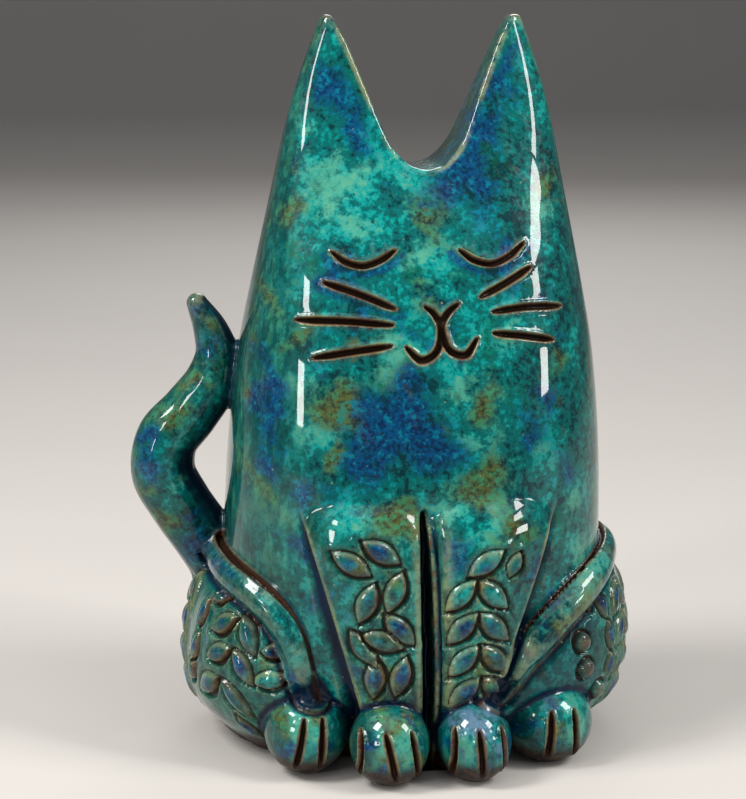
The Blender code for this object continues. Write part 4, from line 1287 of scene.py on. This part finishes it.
def stand(obj):
    """Cuts the figure off flat at the table, and keeps it within the solid's reach."""
    only(obj)
    bpy.ops.object.mode_set(mode="EDIT")
    bpy.ops.mesh.select_all(action="SELECT")
    bpy.ops.mesh.bisect(plane_co=(0, 0, 0), plane_no=(0, 0, 1), use_fill=True, clear_inner=True)
    bpy.ops.mesh.select_all(action="SELECT")
    bpy.ops.mesh.quads_convert_to_tris()
    bpy.ops.object.mode_set(mode="OBJECT")
    p = Skin.read(obj.data.vertices, "co", 3)
    p = np.clip(p, np.array(CAD_BOX[0]), np.array(CAD_BOX[1])).astype(np.float32)
    obj.data.vertices.foreach_set("co", p.ravel())
    obj.data.update()


class Bench:
    """Lays out a material's or a group's nodes and joins them."""

    def __init__(self, tree):
        self.tree = tree

    def add(self, kind, inputs=(), **settings):
        """A new node with these inputs and settings."""
        made = self.tree.nodes.new(kind)
        for name, value in settings.items():
            setattr(made, name, value)
        for name, value in dict(inputs).items():
            self.feed(made.inputs[name], value)
        return made

    def feed(self, socket, value):
        """Joins an output to a socket, or sets the socket's own value."""
        if isinstance(value, bpy.types.NodeSocket):
            self.tree.links.new(value, socket)
        elif socket.type == "RGBA" and len(value) == 3:
            socket.default_value = (*value, 1.0)
        else:
            socket.default_value = value

    def math(self, operation, a, b=0.0, clamp=False):
        """One sum of two values."""
        made = self.add("ShaderNodeMath", operation=operation, use_clamp=clamp)
        self.feed(made.inputs[0], a)
        self.feed(made.inputs[1], b)
        return made.outputs[0]

    def times(self, a, b):
        return self.math("MULTIPLY", a, b)

    def plus(self, a, b):
        return self.math("ADD", a, b)

    def larger(self, a, b):
        return self.math("MAXIMUM", a, b)

    def step(self, value, low, high):
        """0 below low, 1 above high, smooth between."""
        made = self.add("ShaderNodeMapRange", interpolation_type="SMOOTHSTEP")
        self.feed(made.inputs["Value"], value)
        self.feed(made.inputs["From Min"], low)
        self.feed(made.inputs["From Max"], high)
        return made.outputs["Result"]

    def mix(self, share, a, b):
        """Colour a, with a share of colour b laid over it."""
        made = self.add("ShaderNodeMix", data_type="RGBA")
        self.feed(made.inputs[0], share)
        self.feed(made.inputs[6], a)
        self.feed(made.inputs[7], b)
        return made.outputs[2]

    def moved(self, place, **change):
        """A place shifted or stretched by a Mapping node."""
        return self.add("ShaderNodeMapping", {"Vector": place, **change}).outputs["Vector"]

    def attribute(self, name):
        """What the skin keeps under a name."""
        return self.add("ShaderNodeAttribute", attribute_name=name).outputs["Fac"]

    def group(self, tree, **inputs):
        """A node group, its inputs given in lower case."""
        made = self.add("ShaderNodeGroup", node_tree=tree)
        for name, value in inputs.items():
            self.feed(made.inputs[name.replace("_", " ").capitalize()], value)
        return made


def new_group(name, inputs, outputs):
    """An empty node group with named sockets, and the bench to fill it on."""
    tree = bpy.data.node_groups.new(name, "ShaderNodeTree")
    for label, kind, default in inputs:
        socket = tree.interface.new_socket(label, in_out="INPUT", socket_type=kind)
        if default is not None:
            socket.default_value = default
    for label, kind in outputs:
        tree.interface.new_socket(label, in_out="OUTPUT", socket_type=kind)
    bench = Bench(tree)
    return tree, bench, bench.add("NodeGroupInput").outputs, bench.add("NodeGroupOutput").inputs


def cloud_group():
    """Clouds of a chosen size, as a value that swings about zero."""
    tree, bench, given, out = new_group(
        "glaze_clouds",
        (
            ("Place", "NodeSocketVector", None), ("Size", "NodeSocketFloat", 0.01),
            ("Detail", "NodeSocketFloat", 3.0), ("Raggedness", "NodeSocketFloat", 0.55),
        ),
        (("Cloud", "NodeSocketFloat"),),
    )
    scale = bench.math("DIVIDE", 1.0, given["Size"])
    noise = bench.add(
        "ShaderNodeTexNoise",
        {"Vector": given["Place"], "Scale": scale, "Detail": given["Detail"],
         "Roughness": given["Raggedness"], "Distortion": 0.25},
    )
    bench.feed(out["Cloud"], bench.times(bench.math("SUBTRACT", noise.outputs["Fac"], 0.5), 2.6))
    return tree


def patch_group():
    """A patch of colour that breaks up into grains where its soft mask grows weak."""
    tree, bench, given, out = new_group(
        "grainy_patch",
        (
            ("Mask", "NodeSocketFloat", 0.0), ("Broad", "NodeSocketFloat", 0.0),
            ("Fine", "NodeSocketFloat", 0.0), ("Tear", "NodeSocketFloat", 1.0),
            ("Low", "NodeSocketFloat", 0.4), ("High", "NodeSocketFloat", 0.6),
        ),
        (("Patch", "NodeSocketFloat"),),
    )
    torn = bench.plus(bench.times(given["Broad"], 0.45), bench.times(given["Fine"], 0.55))
    value = bench.plus(given["Mask"], bench.times(torn, given["Tear"]))
    shown = bench.step(value, given["Low"], given["High"])
    bench.feed(out["Patch"], bench.times(shown, bench.step(given["Mask"], 0.02, 0.22)))
    return tree


def speck_group():
    """Round specks scattered over the surface, with a share of the cells left empty."""
    tree, bench, given, out = new_group(
        "iron_specks",
        (
            ("Place", "NodeSocketVector", None), ("Spacing", "NodeSocketFloat", 0.002),
            ("Reach", "NodeSocketFloat", 0.15), ("Empty", "NodeSocketFloat", 0.6),
        ),
        (("Specks", "NodeSocketFloat"),),
    )
    scale = bench.math("DIVIDE", 1.0, given["Spacing"])
    cells = bench.add("ShaderNodeTexVoronoi", {"Vector": given["Place"], "Scale": scale})
    chance = bench.add("ShaderNodeSeparateColor", {"Color": cells.outputs["Color"]}).outputs["Red"]
    size = bench.times(given["Reach"], bench.step(chance, given["Empty"], 1.0))
    spot = bench.math("SUBTRACT", size, cells.outputs["Distance"])
    bench.feed(out["Specks"], bench.step(spot, 0.0, 0.04))
    return tree


def glaze_material():
    """The reactive glaze: teal clouds, cobalt pools, olive patches, brown breaks and dark furrows, with
    painted shade in hollows, crevices and on the flanks, and painted highlights on the leaves' rims and pale
    flecks.
    """
    g = bpy.context.scene.cat_glaze
    material = bpy.data.materials.new("reactive_glaze")
    material.use_nodes = True
    tree = material.node_tree
    tree.nodes.clear()
    bench = Bench(tree)
    clouds, patches, specks = cloud_group(), patch_group(), speck_group()
    place = bench.add("ShaderNodeTexCoord").outputs["Object"]
    runs = bench.moved(place, Scale=(1.0, 1.0, 0.70))
    other = bench.moved(place, Location=(0.31, 0.17, 0.05))

    def paint(name):
        return tuple(getattr(g, name))

    def cloud(where, size, detail, raggedness):
        made = bench.group(clouds, place=where, size=size, detail=detail, raggedness=raggedness)
        return made.outputs[0]

    def over(base, share, tint, strength=1.0):
        return bench.mix(bench.math("MULTIPLY", share, strength, clamp=True), base, tint)

    def patch(name, broad, fine, tear, low, high):
        mask = bench.attribute(name)
        made = bench.group(patches, mask=mask, broad=broad, fine=fine, tear=tear, low=low, high=high)
        return made.outputs[0]

    broad = cloud(runs, 0.026, 2.0, 0.5)
    middle = cloud(runs, 0.0075, 3.0, 0.6)
    fine = cloud(place, 0.0024, 3.0, 0.68)
    grain = cloud(other, 0.0013, 2.0, 0.6)
    second = cloud(other, 0.012, 4.0, 0.6)
    third = cloud(other, 0.0045, 3.0, 0.62)

    pale = bench.attribute("pale")
    tone = bench.plus(bench.times(middle, 0.42), bench.times(fine, 0.50))
    tone = bench.plus(tone, bench.times(broad, 0.30))
    tone = bench.plus(tone, bench.times(grain, 0.22))
    tone = bench.plus(tone, bench.times(pale, 0.24))
    base = over(paint("teal"), bench.step(tone, -0.02, -0.28), paint("deep_teal"))
    base = over(base, bench.step(tone, 0.03, 0.24), paint("turquoise"))
    base = over(base, bench.step(tone, 0.22, 0.56), paint("sea_green"), 0.80)
    base = over(base, patch("pale", second, fine, 1.2, 0.30, 1.1), paint("sea_green"), 0.62)

    # Painted shade on the flanks, darker still along the side edges, by which way the skin faces, streaked
    # with green and olive.
    falls = bench.moved(place, Scale=(1.0, 1.0, 0.30))
    streak = cloud(falls, 0.0030, 4.0, 0.65)
    flank = bench.attribute("flank")
    left = bench.step(bench.plus(flank, bench.times(streak, 0.20)), -0.30, -0.72)
    right = bench.step(bench.math("SUBTRACT", flank, bench.times(streak, 0.20)), 0.50, 0.92)
    shade = bench.mix(bench.step(streak, -0.10, 0.40), paint("flank_shade_teal"), paint("flank_shade_green"))
    base = over(base, bench.larger(left, bench.times(right, 0.85)), shade, 0.70)
    edge = bench.step(bench.math("ABSOLUTE", flank), 0.84, 0.97)
    edge_shade = bench.mix(bench.step(streak, -0.45, 0.50), paint("edge_shade_blue"), paint("edge_shade_olive"))
    base = over(base, bench.times(edge, bench.step(second, -0.30, 0.60)), edge_shade, 0.70)

    greenish = bench.plus(bench.times(second, 0.75), bench.times(grain, 0.40))
    base = over(base, bench.step(greenish, 0.12, 0.42), paint("green"), 0.55)
    rusty = bench.plus(bench.times(broad, -0.55), bench.times(third, 0.55))
    base = over(base, bench.step(rusty, 0.26, 0.55), paint("olive"), 0.60)
    olive = bench.mix(bench.step(grain, -0.30, 0.25), paint("umber"), paint("olive"))
    olive = bench.mix(bench.step(fine, -0.12, 0.30), olive, paint("moss"))
    base = over(base, patch("olive", second, fine, 1.1, 0.25, 0.95), olive, 0.80)

    streaks = bench.plus(bench.times(second, -0.55), bench.times(third, 0.45))
    cobalt = bench.mix(bench.step(grain, 0.12, -0.22), paint("cobalt"), paint("deep_cobalt"))
    cobalt = bench.mix(bench.step(fine, 0.06, 0.42), cobalt, paint("azure"))
    base = over(base, bench.step(streaks, 0.25, 0.50), cobalt, 0.65)
    base = over(base, patch("cobalt", middle, fine, 1.35, 0.34, 1.05), cobalt, 0.84)

    pooling_and_shade = bench.attribute("pooling_and_shade")
    sage = bench.mix(bench.step(fine, -0.25, 0.3), paint("deep_sage"), paint("sage"))
    base = over(base, bench.attribute("sage"), sage, 0.55)
    base = over(base, patch("milk", third, fine, 1.6, 0.20, 1.1), paint("milk"), 0.50)
    # Hollows darkened to thick glaze and then navy by how sunk they are: painted shade, partly glaze run
    # together.
    base = over(base, bench.step(pooling_and_shade, 0.03, 0.28), paint("thick"), 0.80)
    base = over(base, bench.step(pooling_and_shade, 0.20, 0.62), paint("navy"), 0.96)
    # The navy stain: painted shade on the steps, walls and crevices where it was laid, partly glaze run
    # together.
    navy = bench.mix(bench.step(middle, -0.25, 0.35), paint("navy"), paint("night"))
    sunk = bench.step(bench.attribute("navy"), 0.08, 0.85)
    base = over(base, sunk, navy, 0.95)

    crest = bench.attribute("crest")
    worn = bench.step(bench.plus(second, bench.times(fine, 0.5)), -0.35, 0.30)
    rim = bench.larger(bench.step(crest, 0.15, 0.32), bench.step(pooling_and_shade, -0.10, -0.26))
    dry = bench.math("SUBTRACT", 1.0, sunk)
    rim = bench.times(rim, dry)
    base = over(base, bench.times(rim, worn), paint("cream"), 0.60)
    bare = bench.step(bench.plus(middle, grain), -0.20, 0.40)
    sharp = bench.larger(bench.step(crest, 0.28, 0.50), bench.step(pooling_and_shade, -0.28, -0.50))
    sharp = bench.times(sharp, dry)
    base = over(base, bench.times(sharp, bare), paint("brown"), 0.90)
    # The cream stain: thin glaze on raised edges, and painted highlight on the leaves' upper left rims.
    base = over(base, bench.attribute("cream"), paint("cream"), 0.65)
    # The rust stain: bare brown edges, and painted shade on the leaves' lower right rims.
    rust = bench.mix(bench.step(fine, -0.2, 0.35), paint("brown"), paint("rust"))
    base = over(base, bench.attribute("rust"), rust, 0.85)

    mark = bench.attribute("inside_mark")
    line = bench.attribute("leaf_line")
    base = over(base, bench.step(mark, -0.40, 0.05), paint("brown"), 0.75)
    groove = bench.step(mark, 0.00, 0.32)
    base = over(base, groove, paint("furrow"))
    # The line round each leaf, painted wider on its lower right as painted shade.
    cut_line = bench.step(line, 0.78, 0.25)
    base = over(base, cut_line, paint("furrow"), 0.94)

    dots = bench.group(specks, place=place, spacing=0.0024, reach=0.15, empty=0.50).outputs[0]
    base = over(base, dots, paint("furrow"), 0.80)
    # Pale flecks: painted glints, over small pits in the bump.
    flecks = bench.group(specks, place=other, spacing=0.0031, reach=0.13, empty=0.60).outputs[0]
    base = over(base, flecks, paint("cream"), 0.55)

    up = bench.add("ShaderNodeSeparateXYZ", {"Vector": place}).outputs["Z"]
    ragged = bench.plus(up, bench.times(bench.plus(middle, fine), -0.0016))
    foot = bench.step(ragged, 0.0084, 0.0046)
    soot = bench.mix(bench.step(fine, -0.2, 0.4), paint("soot"), paint("bare_foot"))
    base = over(base, foot, soot, 0.96)

    dull = bench.larger(groove, bench.times(foot, 0.7))
    dull = bench.larger(dull, bench.times(cut_line, 0.6))
    dull = bench.larger(dull, bench.times(sunk, 0.65))
    rough = bench.plus(0.30, bench.times(dull, 0.25))
    coat = bench.times(bench.math("SUBTRACT", 1.0, bench.times(dull, 0.80)), g.gloss)

    waves = cloud(place, 0.015, 1.0, 0.4)
    ripple = cloud(place, 0.0042, 2.0, 0.5)
    relief = bench.plus(bench.times(waves, 0.00045), bench.times(ripple, 0.000200))
    relief = bench.plus(relief, bench.times(grain, 0.000022))
    relief = bench.math("SUBTRACT", relief, bench.times(dots, 0.00005))
    relief = bench.math("SUBTRACT", relief, bench.times(flecks, 0.00004))
    bump = bench.add("ShaderNodeBump", {"Strength": 1.0, "Distance": 1.0, "Height": relief})

    shader = bench.add(
        "ShaderNodeBsdfPrincipled",
        {"Base Color": base, "Roughness": rough, "IOR": 1.5, "Specular IOR Level": 0.05, "Coat Weight": coat,
         "Coat Roughness": 0.03, "Coat IOR": 1.39, "Normal": bump.outputs["Normal"]},
    )
    bench.add("ShaderNodeOutputMaterial", {"Surface": shader.outputs[0]})
    return material


def table_material():
    """A plain pale surface with the faintest unevenness."""
    s = bpy.context.scene.cat_studio
    material = bpy.data.materials.new("pale_table")
    material.use_nodes = True
    bench = Bench(material.node_tree)
    shader = material.node_tree.nodes["Principled BSDF"]
    place = bench.add("ShaderNodeTexCoord").outputs["Object"]
    noise = bench.add("ShaderNodeTexNoise", {"Vector": place, "Scale": 6.0, "Detail": 3.0})
    darker = tuple(0.94 * c for c in s.table)
    bench.feed(shader.inputs["Base Color"], bench.mix(noise.outputs["Fac"], tuple(s.table), darker))
    shader.inputs["Roughness"].default_value = 0.75
    return material


WARM, WHITE = (1.0, 0.985, 0.96), (1.0, 1.0, 1.0)
# Lamps: degrees round to +X and up, distance, width and height; the strength that each takes a share of,
# the share, and the tint.
LAMPS = (
    ("left_soft_box", -70, 47, 0.85, (0.26, 0.30), "left_lamp", 1.0, WARM),
    ("right_soft_box", 60, 42, 0.85, (0.24, 0.28), "right_lamp", 1.0, WARM),
    ("left_window", -52, 8, 1.1, (0.11, 0.20), "left_lamp", 0.24, WARM),
    ("right_window", 54, 9, 1.1, (0.12, 0.15), "right_lamp", 0.28, WARM),
    ("left_skylight", -50, 27, 1.1, (0.11, 0.15), "left_lamp", 0.17, WARM),
    ("right_skylight", 52, 27, 1.1, (0.10, 0.14), "right_lamp", 0.20, WARM),
    ("rear_fill", 165, 38, 1.4, (0.70, 0.90), "rear_lamp", 1.0, WHITE),
    ("top_fill", 0, 70, 1.5, (1.4, 1.2), "top_lamp", 1.0, WHITE),
)


def add_lamp(name, turn, rise, distance, size, power, tint):
    """A soft box that looks at the cat's middle from a turn to +X and a rise, both in degrees."""
    middle = np.array((0.0, 0.0, 0.09))
    a, b = math.radians(turn), math.radians(rise)
    out = np.array((math.sin(a) * math.cos(b), -math.cos(a) * math.cos(b), math.sin(b)))
    place = middle + out * distance
    bpy.ops.object.light_add(type="AREA", location=place, rotation=(math.pi / 2 - b, 0.0, a))
    lamp = bpy.context.object
    lamp.name = name
    lamp.data.shape = "RECTANGLE"
    lamp.data.size, lamp.data.size_y = size
    lamp.data.energy = power
    lamp.data.color = tint
    return lamp


class CATMODEL_OT_studio(bpy.types.Operator):
    """Set up the pale table, the lamps and the camera"""

    bl_idname = "cat.studio"
    bl_label = "Table, lamps and camera"
    bl_options = {"REGISTER", "UNDO"}

    def execute(self, context):
        s = context.scene.cat_studio
        bpy.ops.object.select_all(action="DESELECT")
        bpy.ops.mesh.primitive_plane_add(size=s.floor_size)
        table = bpy.context.object
        table.name = "pale_table"
        bpy.ops.object.mode_set(mode="EDIT")
        bpy.ops.mesh.select_all(action="DESELECT")
        shape = bmesh.from_edit_mesh(table.data)
        for e in shape.edges:
            e.select_set(all(v.co.y > 0 for v in e.verts))
        bmesh.update_edit_mesh(table.data)
        bpy.ops.mesh.extrude_region_move(TRANSFORM_OT_translate={"value": (0.0, 0.0, s.wall_height)})
        bpy.ops.mesh.select_all(action="DESELECT")
        shape = bmesh.from_edit_mesh(table.data)
        for e in shape.edges:
            e.select_set(all(v.co.y > 1.0 and v.co.z < 0.1 for v in e.verts))
        bmesh.update_edit_mesh(table.data)
        bpy.ops.mesh.bevel(offset=s.cove, segments=24)
        bpy.ops.object.mode_set(mode="OBJECT")
        bpy.ops.object.shade_smooth()
        table.data.materials.append(table_material())

        world = bpy.data.worlds.new("studio_air")
        world.use_nodes = True
        air = world.node_tree.nodes["Background"]
        air.inputs["Color"].default_value = (0.93, 0.95, 1.0, 1.0)
        air.inputs["Strength"].default_value = s.air
        context.scene.world = world
        for name, *setting, source, share, tint in LAMPS:
            add_lamp(name, *setting, share * getattr(s, source), tint)

        turn = s.view_turn
        away = np.array((math.sin(turn), -math.cos(turn), 0.0))
        right = np.array((math.cos(turn), math.sin(turn), 0.0))
        place = away * s.distance - right * s.aside + np.array((0.0, 0.0, s.eye_height))
        bpy.ops.object.camera_add(location=place, rotation=(math.pi / 2 - s.view_dip, 0.0, turn))
        camera = bpy.context.object
        camera.name = "photo_camera"
        camera.data.lens = s.lens
        camera.data.sensor_width = 36.0
        camera.data.clip_start = 0.01
        context.scene.camera = camera
        context.scene.view_settings.view_transform = "Standard"
        return {"FINISHED"}


STEPS = (
    CATMODEL_OT_body, CATMODEL_OT_thighs, CATMODEL_OT_paws, CATMODEL_OT_tail, CATMODEL_OT_finish,
    CATMODEL_OT_studio,
)
GROUPS = (
    ("cat_form", CatForm), ("cat_marks", CatMarks), ("cat_glaze", CatGlaze), ("cat_studio", CatStudio),
)


class CATMODEL_PT_panel(bpy.types.Panel):
    """Sizes and colours of the clay cat, and the steps that make it"""

    bl_idname = "CATMODEL_PT_panel"
    bl_label = "Clay cat"
    bl_space_type = "VIEW_3D"
    bl_region_type = "UI"
    bl_category = "Clay cat"

    def draw(self, context):
        for step in STEPS:
            self.layout.operator(step.bl_idname, text=step.bl_label)
        for name, group in GROUPS:
            box = self.layout.box()
            box.label(text=group.__doc__)
            for prop in group.__annotations__:
                box.prop(getattr(context.scene, name), prop)


def register():
    for _, group in GROUPS:
        bpy.utils.register_class(group)
    for name, group in GROUPS:
        setattr(bpy.types.Scene, name, bpy.props.PointerProperty(type=group))
    for step in STEPS:
        bpy.utils.register_class(step)
    bpy.utils.register_class(CATMODEL_PT_panel)


def unregister():
    bpy.utils.unregister_class(CATMODEL_PT_panel)
    for step in reversed(STEPS):
        bpy.utils.unregister_class(step)
    for name, group in reversed(GROUPS):
        delattr(bpy.types.Scene, name)
        bpy.utils.unregister_class(group)


def main():
    """Makes the cat and its studio."""
    register()
    bpy.ops.cat.body()
    bpy.ops.cat.thighs()
    bpy.ops.cat.paws()
    bpy.ops.cat.tail()
    bpy.ops.cat.finish()
    bpy.ops.cat.studio()


if __name__ == "__main__":
    main()
